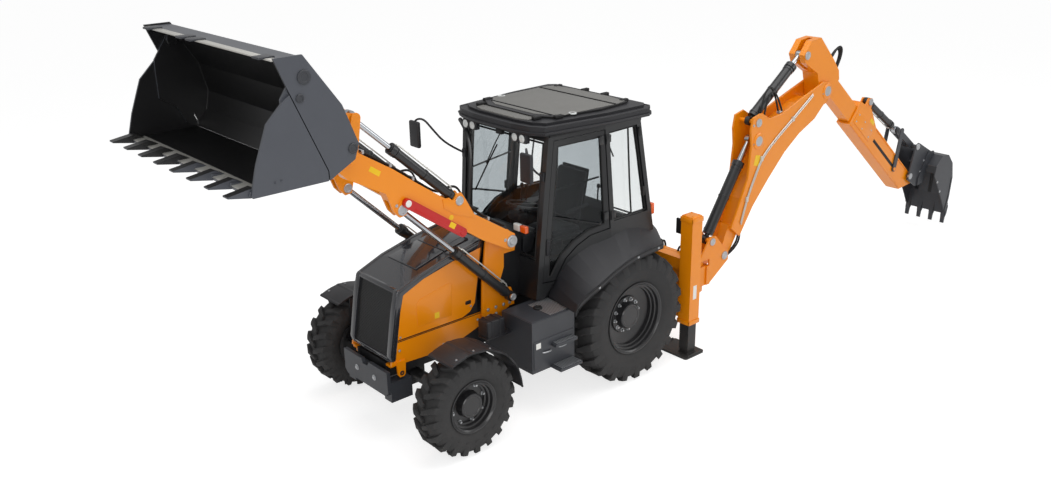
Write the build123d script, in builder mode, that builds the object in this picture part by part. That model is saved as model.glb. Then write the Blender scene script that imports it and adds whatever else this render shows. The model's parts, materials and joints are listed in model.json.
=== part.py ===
"""Backhoe loader with a raised four-in-one bucket, side-shift backhoe and telescopic dipper.

Millimetres. X runs forward to the loader, Y to the machine's left, Z up from the ground.
Side outlines are drawn from above the rear axle: their x runs forward, their y is height.
"""
import os
from math import atan2, cos, degrees, hypot, pi, radians, sin

from build123d import *

os.makedirs("parts", exist_ok=True)

# Overall places
REAR_AXLE_X = 1256.5
WHEELBASE = 2175.0
CLEAR = 5.0
PIN_CLEAR = 0.5
PIN_R = 25.0

# Wheels
REAR_R = 709.0
REAR_WIDTH = 440.0
REAR_TYRE_Y = 880.0
REAR_RIM_R = 365.0
FRONT_R = 500.0
FRONT_WIDTH = 340.0
FRONT_TYRE_Y = 950.0
FRONT_RIM_R = 240.0
LUG_HEIGHT = 36.0
TYRE_SIDES = 20
KINGPIN_Y = 735.0
KINGPIN_R = 26.0

# Chassis
RAIL_Y = 250.0
RAIL_THICK = 30.0
RAIL_FRONT_X = 2560.0
RAIL_REAR_X = -880.0
RAIL_LOW_Z = 560.0
RAIL_HIGH_Z = 790.0
TRUMPET_R = 95.0
BUMPER_X = 2638.0
BUMPER_HALF_Y = 375.0
BUMPER_BACK_X = 2600.0

# Hood
HOOD_HALF_Y = 345.0
HOOD_REAR_X = 1400.0
HOOD_TOP = [(HOOD_REAR_X, 1755.0), (2425.0, 1500.0)]
GRILLE_FOOT = (2550.0, 800.0)
HOOD_HINGE = (2500.0, 830.0)
HOOD_SHELL = 20.0

# Cab
CAB_FRONT_X = 960.0
CAB_REAR_X = -520.0
CAB_FRONT_Y = 620.0
CAB_HALF_Y = 800.0
CAB_POST_X = 120.0
CAB_FLOOR_Z = 1060.0
CAB_SILL_Z = 1240.0
CAB_ROOF_Z = 2740.0
ROOF_TOP_Z = 2870.0
CAB_WALL = 60.0
GLASS = 6.0

# Loader
ARM_Y = 450.0
ARM_HALF = 55.0
ARM_PIVOT = (1190.0, 1720.0)
LIFT_BASE = (1185.0, 1124.0)
LIFT_PIN = (2440.0, 2330.0)
TILT_BASE = (1810.0, 2275.0)
BUCKET_PIN = (3220.0, 3090.0)
LEVER_PIN = (2935.0, 2905.0)
TILT_EYE = (2880.0, 3245.0)
LINK_PIN = (3250.0, 3320.0)
BUCKET_HALF_Y = 1150.0
WING_THICK = 20.0
JAW_PIN = (3661.0, 3798.0)
EYE_R = 52.0
EYE_HALF = 28.0
BARREL_START = 70.0

# Backhoe: heights above ground, distances behind the rear axle are negative
HOE_Y = 585.0
KINGPOST = (-1500.0, 0.0)
BOOM_FOOT = (-1890.0, 810.0)
BOOM_CYL_BASE = (-1660.0, 1035.0)
BOOM_ROD_PIN = (-2380.0, 2100.0)
DIPPER_CYL_BASE = (-2360.0, 2320.0)
ELBOW = (-3700.0, 2485.0)
DIPPER_TOP_PIN = (-3270.0, 2970.0)
DIPPER_SLOPE = 40.0
NOSE = (2700.0, 240.0)
COUPLER_LINK = (2536.0, 627.0)
GUIDE_BASE = (2270.0, 120.0)
GUIDE_EYE = (2028.0, 586.0)
BUCKET_CYL_BASE = (1100.0, 484.0)
BOOM_HALF = 140.0
BOOM_PLATE = 25.0
STABILISER_Y = 1032.0
STABILISER_X = -878.0
PAD_X = -885.0
PAD_Y = 930.0


def side_plane(y):
    """Plane of a side view at y, drawn from the rear axle, facing right."""
    return Plane(origin=(REAR_AXLE_X, y, 0), x_dir=(1, 0, 0), z_dir=(0, -1, 0))


def plan_plane(z):
    """Plane of a top view at height z, drawn from the rear axle."""
    return Plane(origin=(REAR_AXLE_X, 0, z))


def plate(points, y_left, width):
    """Side outline extruded from y_left to the right by width."""
    with BuildPart() as piece:
        with BuildSketch(side_plane(y_left)):
            with BuildLine():
                Polyline(*points, close=True)
            make_face()
        extrude(amount=width)
    return piece.part


def disc(centre, y_left, width, radius):
    """Round boss or pin along Y."""
    with BuildPart() as piece:
        with BuildSketch(side_plane(y_left)):
            with Locations(centre):
                Circle(radius)
        extrude(amount=width)
    return piece.part


def block(x_range, y_range, z_range):
    """Block between two corners, x from the rear axle."""
    with BuildPart() as piece:
        with BuildSketch(plan_plane(z_range[0])):
            with Locations((sum(x_range) / 2, sum(y_range) / 2)):
                Rectangle(x_range[1] - x_range[0], y_range[1] - y_range[0])
        extrude(amount=z_range[1] - z_range[0])
    return piece.part


def slab(points, z_low, height):
    """Top view outline extruded upwards."""
    with BuildPart() as piece:
        with BuildSketch(plan_plane(z_low)):
            with BuildLine():
                Polyline(*points, close=True)
            make_face()
        extrude(amount=height)
    return piece.part


def bar(start, end, radius):
    """Round bar between two points, x from the rear axle."""
    first = Vector(start[0] + REAR_AXLE_X, start[1], start[2])
    run = Vector(end[0] + REAR_AXLE_X, end[1], end[2]) - first
    with BuildPart() as piece:
        with BuildSketch(Plane(origin=first, z_dir=run)):
            Circle(radius)
        extrude(amount=run.length)
    return piece.part


def tube(points, radius, bend):
    """Bent round tube through points, x from the rear axle."""
    route = [(x + REAR_AXLE_X, y, z) for x, y, z in points]
    with BuildPart() as piece:
        with BuildLine() as path:
            FilletPolyline(*route, radius=bend)
        with BuildSketch(Plane(origin=route[0], z_dir=Vector(route[1]) - Vector(route[0]))):
            Circle(radius)
        sweep(path=path.line)
    return piece.part


def sheet_outline(points, thick):
    """Closed outline of a folded sheet: the points, then the same set off to their left."""
    count = len(points)
    inner = []
    for i in range(count):
        before = points[max(i - 1, 0)]
        after = points[min(i + 1, count - 1)]
        here = points[i]
        first = (here[0] - before[0], here[1] - before[1]) if i else (after[0] - here[0], after[1] - here[1])
        last = (after[0] - here[0], after[1] - here[1]) if i < count - 1 else first
        first_n = (-first[1] / hypot(*first), first[0] / hypot(*first))
        last_n = (-last[1] / hypot(*last), last[0] / hypot(*last))
        mean = (first_n[0] + last_n[0], first_n[1] + last_n[1])
        reach = 2 * thick / (mean[0] ** 2 + mean[1] ** 2)
        inner.append((here[0] + mean[0] * reach, here[1] + mean[1] * reach))
    return points + inner[::-1]


def both_sides(piece):
    """A piece on the left and its mirror image on the right."""
    with BuildPart() as pair:
        add(piece)
        mirror(about=Plane.XZ)
    return pair.part


def cylinder_barrel(base, pin, y, radius, length, bore, eye_half=EYE_HALF):
    """Hydraulic barrel from its base eye towards the rod's pin, bored for the rod."""
    run = Vector(pin[0] - base[0], 0, pin[1] - base[1]).normalized()
    foot = Vector(base[0] + REAR_AXLE_X, y, base[1])
    with BuildPart() as piece:
        with BuildSketch(Plane(origin=foot, z_dir=run)):
            Circle(eye_half)
        extrude(amount=length)
        with BuildSketch(Plane(origin=foot + run * BARREL_START, z_dir=run)):
            Circle(radius)
        extrude(amount=length - BARREL_START)
        with BuildSketch(Plane(origin=foot + run * (length - 55), z_dir=run)):
            Circle(radius + 9)
        extrude(amount=55)
        with BuildSketch(side_plane(y + eye_half)):
            with Locations(base):
                Circle(EYE_R)
        extrude(amount=2 * eye_half)
        with BuildSketch(Plane(origin=foot + run * (BARREL_START + 12), z_dir=run)):
            Circle(bore)
        extrude(amount=length, mode=Mode.SUBTRACT)
        with BuildSketch(side_plane(y + eye_half)):
            with Locations(base):
                Circle(PIN_R + PIN_CLEAR)
        extrude(amount=2 * eye_half, mode=Mode.SUBTRACT)
    return piece.part


def cylinder_rod(base, pin, y, radius, length, eye_half=EYE_HALF):
    """Chrome rod with its eye and the pin that it carries."""
    run = Vector(base[0] - pin[0], 0, base[1] - pin[1]).normalized()
    tip = Vector(pin[0] + REAR_AXLE_X, y, pin[1])
    with BuildPart() as piece:
        with BuildSketch(Plane(origin=tip, z_dir=run)):
            Circle(radius)
        extrude(amount=length)
        with BuildSketch(side_plane(y + eye_half)):
            with Locations(pin):
                Circle(EYE_R)
        extrude(amount=2 * eye_half)
    return piece.part


def write(piece, label):
    """Label a piece and write its file."""
    piece.label = label
    export_step(piece, "parts/" + label + ".step")


# Tyres: a faceted carcass from sections (share of half width, radius), with two rows of lugs.
# Column names: half_share, radius_share between rim and tread
TYRE_SECTIONS = [(-0.86, 0.0), (-1.0, 0.42), (-0.88, 0.86), (-0.66, 1.0),
                 (0.66, 1.0), (0.88, 0.86), (1.0, 0.42), (0.86, 0.0)]


def tyre(axle, y, radius, width, rim_r):
    """One tyre with bar lugs, its axle along Y."""
    tread_r = radius - LUG_HEIGHT
    centre = Vector(axle[0] + REAR_AXLE_X, y, axle[1])
    pitch = 2 * pi / TYRE_SIDES
    lug_width = 0.40 * radius * pitch
    skew = 0.30 * radius * pitch
    lug_span = (lug_width + skew) / 2
    top_r = (radius ** 2 - lug_span ** 2) ** 0.5
    lugs = []
    for k in range(2 * TYRE_SIDES):
        side = 1 if k % 2 else -1
        turn = pitch * (k / 2 - TYRE_SIDES / 4)
        out = Vector(cos(turn), 0, sin(turn))
        face = Plane(origin=centre + out * top_r, x_dir=(0, side, 0), z_dir=out)
        inner, outer = 0.02 * width, 0.47 * width
        half = lug_width / 2
        outline = [(inner, -half - skew / 2), (outer, -half + skew / 2),
                   (outer, half + skew / 2), (inner, half - skew / 2)]
        with BuildPart() as lug:
            with BuildSketch(face):
                with BuildLine():
                    Polyline(*outline, close=True)
                make_face()
            extrude(amount=-(top_r - tread_r) - 30)
        lugs.append(lug.part)
    with BuildPart() as piece:
        for half_share, radius_share in TYRE_SECTIONS:
            face = Plane(origin=centre + Vector(0, half_share * width / 2, 0), x_dir=(1, 0, 0),
                         z_dir=(0, 1, 0))
            with BuildSketch(face):
                RegularPolygon(radius=rim_r + (tread_r - rim_r) * radius_share,
                               side_count=TYRE_SIDES)
        loft(ruled=True)
        add(lugs)
        with BuildSketch(Plane(origin=centre - Vector(0, width, 0), x_dir=(1, 0, 0),
                               z_dir=(0, 1, 0))):
            RegularPolygon(radius=rim_r - 4, side_count=TYRE_SIDES)
        extrude(amount=2 * width, mode=Mode.SUBTRACT)
    return piece.part


def rim(axle, y, rim_r, width, dish, hub_r):
    """Wheel rim turned about the axle: a barrel, a dished disc and a hub; dish is towards +Y."""
    half = width / 2
    seat = rim_r * cos(pi / TYRE_SIDES) - 4 - 0.3
    with BuildPart() as piece:
        with BuildSketch(Plane(origin=(axle[0] + REAR_AXLE_X, y, axle[1]), x_dir=(1, 0, 0),
                               z_dir=(0, 0, 1))):
            with BuildLine():
                Polyline((seat, -half), (seat, half), (seat - 14, half), (seat - 30, dish + 20),
                         (hub_r * 1.5, dish + 20), (hub_r * 1.4, dish + 34), (hub_r, dish + 40),
                         (hub_r, dish + 90), (0, dish + 90), (0, dish - 10),
                         (seat - 30, dish - 10), (seat - 14, -half), close=True)
            make_face()
        revolve(axis=Axis((axle[0] + REAR_AXLE_X, y, axle[1]), (0, 1, 0)))
    return piece.part


REAR_AXLE = (0.0, REAR_R)
FRONT_AXLE = (WHEELBASE, FRONT_R)

# Columns: name, axle, tyre centre y, tyre radius, width, rim radius, dish, hub radius
WHEELS = [("rear", REAR_AXLE, REAR_TYRE_Y, REAR_R, REAR_WIDTH, REAR_RIM_R, 40.0, 110.0),
          ("front", FRONT_AXLE, FRONT_TYRE_Y, FRONT_R, FRONT_WIDTH, FRONT_RIM_R, 50.0, 80.0)]
for name, axle, y, radius, width, rim_r, dish, hub_r in WHEELS:
    left_tyre = tyre(axle, y, radius, width, rim_r)
    left_rim = rim(axle, y, rim_r, width * 0.86, dish, hub_r)
    write(left_tyre, name + "_tyre_left")
    write(left_rim, name + "_rim_left")
    write(mirror(left_tyre, about=Plane.XZ), name + "_tyre_right")
    write(mirror(left_rim, about=Plane.XZ), name + "_rim_right")

# Main frame: two rails with cross members, and the axle saddle
with BuildPart() as main_frame:
    rail = [(RAIL_REAR_X, RAIL_LOW_Z), (RAIL_FRONT_X, RAIL_LOW_Z + 60), (RAIL_FRONT_X, RAIL_HIGH_Z - 20),
            (1500.0, RAIL_HIGH_Z), (1100.0, 960.0), (RAIL_REAR_X, 960.0)]
    add(both_sides(plate(rail, RAIL_Y, RAIL_THICK)))
    for x in (-820.0, 640.0, 1240.0, 2480.0):
        add(block((x, x + 60), (-RAIL_Y, RAIL_Y), (640, 760)))
    add(block((WHEELBASE - 110, WHEELBASE + 110), (-RAIL_Y, RAIL_Y), (640, 700)))
    with BuildSketch(side_plane(RAIL_Y)):
        with Locations((0, REAR_R)):
            Circle(TRUMPET_R + 1)
    extrude(amount=2 * RAIL_Y, mode=Mode.SUBTRACT)
write(main_frame.part, "main_frame")

with BuildPart() as engine_block:
    add(block((1420, 2300), (-215, 215), (765, 1330)))
write(engine_block.part, "engine_block")

# Front bumper: a notched plate with weights behind its ends and a bore for a towing pin
with BuildPart() as front_bumper:
    with BuildSketch(Plane(origin=(REAR_AXLE_X + BUMPER_BACK_X, 0, 0), x_dir=(0, 1, 0), z_dir=(1, 0, 0))):
        with BuildLine():
            Polyline((-375, 735), (-375, 520), (-335, 478), (335, 478), (375, 520), (375, 735), (60, 735),
                     (40, 690), (-40, 690), (-60, 735), close=True)
        make_face()
    extrude(amount=BUMPER_X - BUMPER_BACK_X)
    add(both_sides(block((2360, BUMPER_BACK_X), (RAIL_Y + 5, BUMPER_HALF_Y), (410, 612))))
    add(block((RAIL_FRONT_X, BUMPER_BACK_X), (-300, 300), (478, 690)))
    with BuildSketch(plan_plane(440)):
        with Locations((BUMPER_BACK_X - 2, 0)):
            Circle(20)
    extrude(amount=300, mode=Mode.SUBTRACT)
write(front_bumper.part, "front_bumper")

# Axles: the rear one is fixed, the front one carries knuckles on kingpins
with BuildPart() as rear_axle:
    trumpet = Plane(origin=(REAR_AXLE_X, -REAR_TYRE_Y - 20, REAR_R), z_dir=(0, 1, 0))
    with BuildSketch(trumpet):
        Circle(TRUMPET_R)
    extrude(amount=2 * (REAR_TYRE_Y + 20))
    add(block((-190, 190), (-170, 170), (REAR_R - 190, REAR_R + 190)))
write(rear_axle.part, "rear_axle")

BEAM_END_Y = KINGPIN_Y - 72
with BuildPart() as front_axle:
    with BuildSketch(Plane(origin=(REAR_AXLE_X + WHEELBASE, -BEAM_END_Y, FRONT_R), z_dir=(0, 1, 0))):
        Circle(62)
    extrude(amount=2 * BEAM_END_Y)
    add(block((WHEELBASE - 120, WHEELBASE + 120), (-150, 150), (FRONT_R - 120, 635)))
    for z_low in (FRONT_R - 110, FRONT_R + 70):
        add(both_sides(block((WHEELBASE - 45, WHEELBASE + 45), (BEAM_END_Y - 60, KINGPIN_Y + 30),
                             (z_low, z_low + 40))))
    with BuildSketch(Plane.XY.offset(FRONT_R - 200)):
        with Locations((REAR_AXLE_X + WHEELBASE, KINGPIN_Y), (REAR_AXLE_X + WHEELBASE, -KINGPIN_Y)):
            Circle(KINGPIN_R + PIN_CLEAR)
    extrude(amount=400, mode=Mode.SUBTRACT)
write(front_axle.part, "front_axle")

# Steering knuckle with its kingpin, the front fender and its bracket
FENDER_R = 560.0
with BuildPart() as knuckle_left:
    add(block((WHEELBASE - 60, WHEELBASE + 60), (KINGPIN_Y - 35, KINGPIN_Y + 40),
              (FRONT_R - 64, FRONT_R + 64)))
    with BuildSketch(Plane.XY.offset(FRONT_R - 120)):
        with Locations((REAR_AXLE_X + WHEELBASE, KINGPIN_Y)):
            Circle(KINGPIN_R)
    extrude(amount=240)
    with BuildSketch(Plane(origin=(REAR_AXLE_X + WHEELBASE, KINGPIN_Y + 30, FRONT_R), z_dir=(0, 1, 0))):
        Circle(70)
    extrude(amount=210)
    arc = [(WHEELBASE + FENDER_R * cos(radians(a)), FRONT_R + FENDER_R * sin(radians(a)))
           for a in (178, 155, 132, 109, 86, 63)]
    add(plate(sheet_outline(arc, 10), FRONT_TYRE_Y + FRONT_WIDTH / 2 + 10, FRONT_WIDTH + 20))
    stay = [(-130, -50), (-75, -50), (-75, 150), (75, 150), (75, -50), (130, -50), (130, FENDER_R - 25),
            (-130, FENDER_R - 25)]
    add(plate([(WHEELBASE + x, FRONT_R + z) for x, z in stay], KINGPIN_Y + 37, 17))
    add(block((WHEELBASE - 130, WHEELBASE + 130), (KINGPIN_Y + 20, KINGPIN_Y + 37),
              (FRONT_R - 50, FRONT_R + 50)))
write(knuckle_left.part, "knuckle_left")
write(mirror(knuckle_left.part, about=Plane.XZ), "knuckle_right")

# Hood shell with its seam on the fixed skirts, black top and grille
HOOD_TOP_LINE = [(1430, 1752), (1800, 1688), (2150, 1600), (2425, 1492), (2470, 1300), (2552, 800)]
SEAM = [(2518, 1008), (1700, 1008), (1610, 1040), (1545, 1120), (1505, 1340), (1440, 1750)]
with BuildPart() as hood_panels:
    side = HOOD_TOP_LINE[:5] + [(2518, 1008)] + SEAM[1:-1]
    add(both_sides(plate(side, HOOD_HALF_Y, HOOD_SHELL)))
write(hood_panels.part, "hood_panels")

with BuildPart() as hood_top:
    inner_y = HOOD_HALF_Y - HOOD_SHELL
    front = sheet_outline(HOOD_TOP_LINE, -HOOD_SHELL)
    add(plate(front, inner_y, 2 * inner_y))
write(hood_top.part, "hood_top")

# Loader towers: a plate a side that carries the arm pivot and the lift cylinder's foot, with the skirt
TOWER_IN = ARM_Y - ARM_HALF - CLEAR
TOWER_PLATE = 20.0
tower = [(1150, 975), (1480, 880), (1496, 1000), (1480, 1330), (1425, 1735), (1300, 1760), (1250, 1800),
         (1140, 1800), (1120, 1740), (1200, 1600), (1205, 1420), (1290, 1200), (1150, 1010)]
skirt = [(2522, 995), (2562, 765), (1900, 735), (1580, 830), (1400, 890), (1400, 995)]
eye_lug = [(2410, 800), (2420, 660), (2440, 637), (2482, 637), (2502, 660), (2512, 800)]
with BuildPart() as tower_left:
    add(plate(tower, TOWER_IN, TOWER_PLATE))
    add(plate([(1050, 1700), (1140, 1800), (1240, 1800), (1320, 1700), (1320, 1560), (1060, 1560)],
              TOWER_IN, TOWER_PLATE))
    add(disc(ARM_PIVOT, ARM_Y + ARM_HALF + 12, ARM_Y + ARM_HALF + 12 - TOWER_IN + TOWER_PLATE, PIN_R))
    add(disc(LIFT_BASE, ARM_Y + 50, ARM_Y + 50 - TOWER_IN + TOWER_PLATE, PIN_R))
    add(plate([(1080, 985), (1290, 985), (1290, 1200), (1230, 1200), (1120, 1180), (1080, 1080)],
              TOWER_IN, TOWER_PLATE))
    add(block((1160, 1440), (RAIL_Y, TOWER_IN - TOWER_PLATE), (885, 945)))
    add(plate(skirt, HOOD_HALF_Y, HOOD_SHELL))
    add(block((1410, 1470), (HOOD_HALF_Y, TOWER_IN - TOWER_PLATE), (900, 990)))
    add(plate(eye_lug, HOOD_HALF_Y + 20, 20))
    with BuildSketch(side_plane(HOOD_HALF_Y + 20)):
        with Locations((2461, 677)):
            Circle(18)
    extrude(amount=20, mode=Mode.SUBTRACT)
    add(block((2500, RAIL_FRONT_X), (RAIL_Y, HOOD_HALF_Y - HOOD_SHELL), (745, 770)))
write(both_sides(tower_left.part), "loader_towers")

CROSS_TUBE = (2975.0, 2790.0)

# Loader arms: outlines with the lift lug below and the tilt lug on top
ARM_OUTLINE = [(1130, 1700), (1150, 1790), (1640, 2105), (1735, 2275), (1780, 2345), (1850, 2345),
               (1960, 2325), (2280, 2550), (2510, 2720), (2820, 2915), (3140, 3140), (3210, 3175),
               (3290, 3140), (3305, 3060), (3250, 3010), (2970, 2720), (2600, 2515), (2530, 2330),
               (2470, 2265), (2400, 2275), (2370, 2390), (2030, 2145), (1710, 1935), (1540, 1815),
               (1240, 1650), (1160, 1640)]
with BuildPart() as arm_left:
    add(plate(ARM_OUTLINE, ARM_Y + ARM_HALF, 2 * ARM_HALF))
    for point, room in ((LIFT_PIN, 170.0), (TILT_BASE, 90.0)):
        with BuildSketch(side_plane(ARM_Y + EYE_HALF + CLEAR)):
            with Locations(point):
                Circle(room)
        extrude(amount=2 * (EYE_HALF + CLEAR), mode=Mode.SUBTRACT)
    with BuildSketch(side_plane(ARM_Y + ARM_HALF)):
        with Locations(ARM_PIVOT):
            Circle(PIN_R + PIN_CLEAR)
        with Locations(BUCKET_PIN):
            Circle(PIN_R + PIN_CLEAR)
    extrude(amount=2 * ARM_HALF, mode=Mode.SUBTRACT)
    run = Vector(TILT_EYE[0] - TILT_BASE[0], 0, TILT_EYE[1] - TILT_BASE[1]).normalized()
    foot = Vector(TILT_BASE[0] + REAR_AXLE_X, ARM_Y, TILT_BASE[1])
    with BuildSketch(Plane(origin=foot + run * (BARREL_START - 5), z_dir=run)):
        Circle(66)
    extrude(amount=700, mode=Mode.SUBTRACT)
    add(disc(TILT_BASE, ARM_Y + ARM_HALF, 2 * ARM_HALF, PIN_R))
    add(disc(LEVER_PIN, ARM_Y + 112, 224, PIN_R))
with BuildPart() as loader_arms:
    add(both_sides(arm_left.part))
    add(disc(CROSS_TUBE, ARM_Y - ARM_HALF, 2 * (ARM_Y - ARM_HALF), 56))
write(loader_arms.part, "loader_arms")

# Loader cylinders, levers and links, a pair of each on one body
LIFT_BARREL = 930.0
TILT_BARREL = 925.0
write(both_sides(cylinder_barrel(LIFT_BASE, LIFT_PIN, ARM_Y, 48, LIFT_BARREL, 29)), "lift_barrels")
write(both_sides(cylinder_rod(LIFT_BASE, LIFT_PIN, ARM_Y, 27, 940)), "lift_rods")
write(both_sides(cylinder_barrel(TILT_BASE, TILT_EYE, ARM_Y, 46, TILT_BARREL, 27)), "tilt_barrels")
write(both_sides(cylinder_rod(TILT_BASE, TILT_EYE, ARM_Y, 25, 700)), "tilt_rods")


def link_plate(first, second, half_width, y_left, width, bores=()):
    """Straight link between two pins with round ends and bores."""
    run = (second[0] - first[0], second[1] - first[1])
    middle = ((first[0] + second[0]) / 2, (first[1] + second[1]) / 2)
    with BuildPart() as piece:
        with BuildSketch(side_plane(y_left)):
            with Locations(Location((middle[0], middle[1], 0), (0, 0, degrees(atan2(run[1], run[0]))))):
                SlotCenterToCenter(hypot(*run), 2 * half_width)
        extrude(amount=width)
        for point in bores:
            with BuildSketch(side_plane(y_left)):
                with Locations(point):
                    Circle(PIN_R + PIN_CLEAR)
            extrude(amount=width, mode=Mode.SUBTRACT)
    return piece.part


LUG_IN, LUG_OUT = 60.0, 74.0
LINK_IN, LINK_OUT = 79.0, 93.0
LEVER_IN, LEVER_OUT = 98.0, 112.0
with BuildPart() as levers:
    for side in (1, -1):
        top = ARM_Y + LEVER_OUT if side > 0 else ARM_Y - LEVER_IN
        add(link_plate(LEVER_PIN, TILT_EYE, 45, top, LEVER_OUT - LEVER_IN, [LEVER_PIN]))
write(both_sides(levers.part), "tilt_levers")
with BuildPart() as links:
    for side in (1, -1):
        top = ARM_Y + LINK_OUT if side > 0 else ARM_Y - LINK_IN
        add(link_plate(TILT_EYE, LINK_PIN, 38, top, LINK_OUT - LINK_IN, [LINK_PIN]))
write(both_sides(links.part), "tilt_links")

# Loader bucket: the fixed back with its wings, and the jaw that opens
WING = [(3879, 3944), (3645, 3944), (3349, 3531), (3227, 3212), (3269, 3093), (3502, 2971), (3505, 3050),
        (3770, 3673), (3790, 3720)]
BACK = [(3860, 3930), (3650, 3930), (3420, 3560), (3360, 3300), (3400, 3130), (3508, 2990)]
JAW_SIDE = [(3776, 3668), (3512, 3046), (3512, 2969), (4140, 2967), (4150, 2992), (4090, 3206), (3980, 3487),
            (3821, 3641)]
with BuildPart() as loader_bucket:
    for y_left in (BUCKET_HALF_Y, -BUCKET_HALF_Y + WING_THICK):
        add(plate(WING, y_left, WING_THICK))
    inside = BUCKET_HALF_Y - WING_THICK
    add(plate(sheet_outline(BACK, 14), inside, 2 * inside))
    lug = [(3165, 3040), (3165, 3150), (3205, 3375), (3420, 3560), (3360, 3300), (3400, 3130), (3300, 3040)]
    for y in (ARM_Y, -ARM_Y):
        for y_left in (y + LUG_OUT, y - LUG_IN):
            add(plate(lug, y_left, LUG_OUT - LUG_IN))
        add(disc(BUCKET_PIN, y + LUG_OUT, 2 * LUG_OUT, PIN_R))
        add(disc(LINK_PIN, y + LINK_OUT + 4, LINK_OUT - LUG_IN, PIN_R))
        add(disc(LINK_PIN, y - LUG_IN, LINK_OUT - LUG_IN + 4, PIN_R))
    add(both_sides(disc(JAW_PIN, BUCKET_HALF_Y, 45, PIN_R)))
write(loader_bucket.part, "loader_bucket")

TOOTH_COUNT = 8
EAR_LEFT = BUCKET_HALF_Y - WING_THICK - 2
with BuildPart() as jaw_ear:
    add(plate([(3620, 3790), (3700, 3840), (3840, 3640), (3840, 3300), (3690, 3200), (3620, 3050),
               (3535, 3050), (3552, 3170), (3612, 3300)], EAR_LEFT, 20))
    with BuildSketch(side_plane(EAR_LEFT)):
        with Locations(JAW_PIN):
            Circle(PIN_R + PIN_CLEAR)
    extrude(amount=20, mode=Mode.SUBTRACT)
    add(plate([(3800, 3620), (3840, 3620), (3840, 3300), (3740, 3300)], BUCKET_HALF_Y - WING_THICK, 2))
with BuildPart() as bucket_jaw:
    for y_left in (BUCKET_HALF_Y, -BUCKET_HALF_Y + WING_THICK):
        add(plate(JAW_SIDE, y_left, WING_THICK))
    add(plate([(3520, 2967), (4140, 2967), (4150, 2992), (3520, 2997)], BUCKET_HALF_Y - WING_THICK,
              2 * (BUCKET_HALF_Y - WING_THICK)))
    add(both_sides(jaw_ear.part))
    for k in range(TOOTH_COUNT):
        y = (k - (TOOTH_COUNT - 1) / 2) * 2 * (BUCKET_HALF_Y - 70) / (TOOTH_COUNT - 1)
        add(plate([(4040, 2997), (4120, 3040), (4321, 3010), (4321, 2998), (4150, 2967), (4040, 2967)],
                  y + 40, 80))
write(bucket_jaw.part, "bucket_jaw")

# Cab: half plans at floor and roof height, from the front post over the hinge post to the rear corner
LOW_PLAN = [(985.0, 620.0), (125.0, 865.0), (-545.0, 865.0)]
HIGH_PLAN = [(835.0, 665.0), (100.0, 690.0), (-445.0, 650.0)]
CAB_HALF_Y = 900.0


def cab_solid(inset):
    """The cab's leaning walls as one solid, inset from their outer faces."""
    with BuildPart() as solid:
        for z, half in ((CAB_FLOOR_Z, LOW_PLAN), (CAB_ROOF_Z, HIGH_PLAN)):
            front, hinge, rear = half
            left = [(front[0] - inset, front[1] - inset), (hinge[0], hinge[1] - inset),
                    (rear[0] + inset, rear[1] - inset)]
            with BuildSketch(plan_plane(z)):
                with BuildLine():
                    Polyline(*left, *[(x, -y) for x, y in reversed(left)], close=True)
                make_face()
        loft(ruled=True)
    return solid.part


def across(points, x_from, x_to):
    """Front view outline extruded along X."""
    with BuildPart() as prism:
        with BuildSketch(Plane(origin=(REAR_AXLE_X + x_from, 0, 0), x_dir=(0, 1, 0), z_dir=(1, 0, 0))):
            with BuildLine():
                Polyline(*points, close=True)
            make_face()
        extrude(amount=x_to - x_from)
    return prism.part


LEAF = [(112, 2672), (768, 2672), (905, 1238), (775, 1238), (722, 1335), (652, 1453), (522, 1561),
        (362, 1641), (128, 1673)]
DOORWAY = [(104, 2680), (776, 2680), (913, 1228), (768, 1228), (714, 1330), (645, 1446), (517, 1553),
           (359, 1633), (119, 1665)]
PANE = [(168, 2612), (716, 2612), (842, 1290), (815, 1290), (768, 1375), (692, 1496), (548, 1612),
        (378, 1694), (184, 1728)]
QUARTER = [(62, 1728), (48, 2640), (-385, 2640), (-452, 1722)]
QUARTER_PANE = [(56, 1733), (43, 2635), (-380, 2635), (-446, 1728)]
LOWER_Y = 620.0
side_cut = [(CAB_FRONT_X + 60, 1060), (895, 1060), (815, 1190), (570, 1412), (204, 1500), (-300, 1500),
            (-640, 1500), (-640, CAB_ROOF_Z + 10), (CAB_FRONT_X + 60, CAB_ROOF_Z + 10)]
inner_cut = [(CAB_FRONT_X, 1090), (900, 1090), (840, 1240), (600, 1460), (220, 1556),
             (-640, 1556), (-640, 3000), (CAB_FRONT_X, 3000)]
with BuildPart() as cab_body:
    add(cab_solid(0))
    add(plate(side_cut, CAB_HALF_Y, 2 * CAB_HALF_Y), mode=Mode.INTERSECT)
    add(block((CAB_REAR_X, 900), (-LOWER_Y, LOWER_Y), (CAB_FLOOR_Z, 1560)))
with BuildPart() as cab_room:
    add(cab_solid(CAB_WALL))
    add(plate(inner_cut, CAB_HALF_Y, 2 * CAB_HALF_Y), mode=Mode.INTERSECT)
    add(block((CAB_REAR_X + CAB_WALL, 880), (-LOWER_Y + CAB_WALL, LOWER_Y - CAB_WALL),
              (CAB_FLOOR_Z + 30, 1600)))
with BuildPart() as cab_frame:
    add(cab_body.part)
    add(cab_room.part, mode=Mode.SUBTRACT)
    add(across([(-575, 1460), (575, 1460), (600, 2670), (-600, 2670)], 760, 1010), mode=Mode.SUBTRACT)
    add(across([(-725, 1580), (725, 1580), (595, 2670), (-595, 2670)], -600, -360), mode=Mode.SUBTRACT)
    add(plate(QUARTER, CAB_HALF_Y, 2 * CAB_HALF_Y), mode=Mode.SUBTRACT)
    add(plate(DOORWAY, CAB_HALF_Y, 2 * CAB_HALF_Y), mode=Mode.SUBTRACT)
    add(block((925, 1395), (-330, 330), (1060, 1740)))
write(cab_frame.part, "cab_frame")

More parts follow.
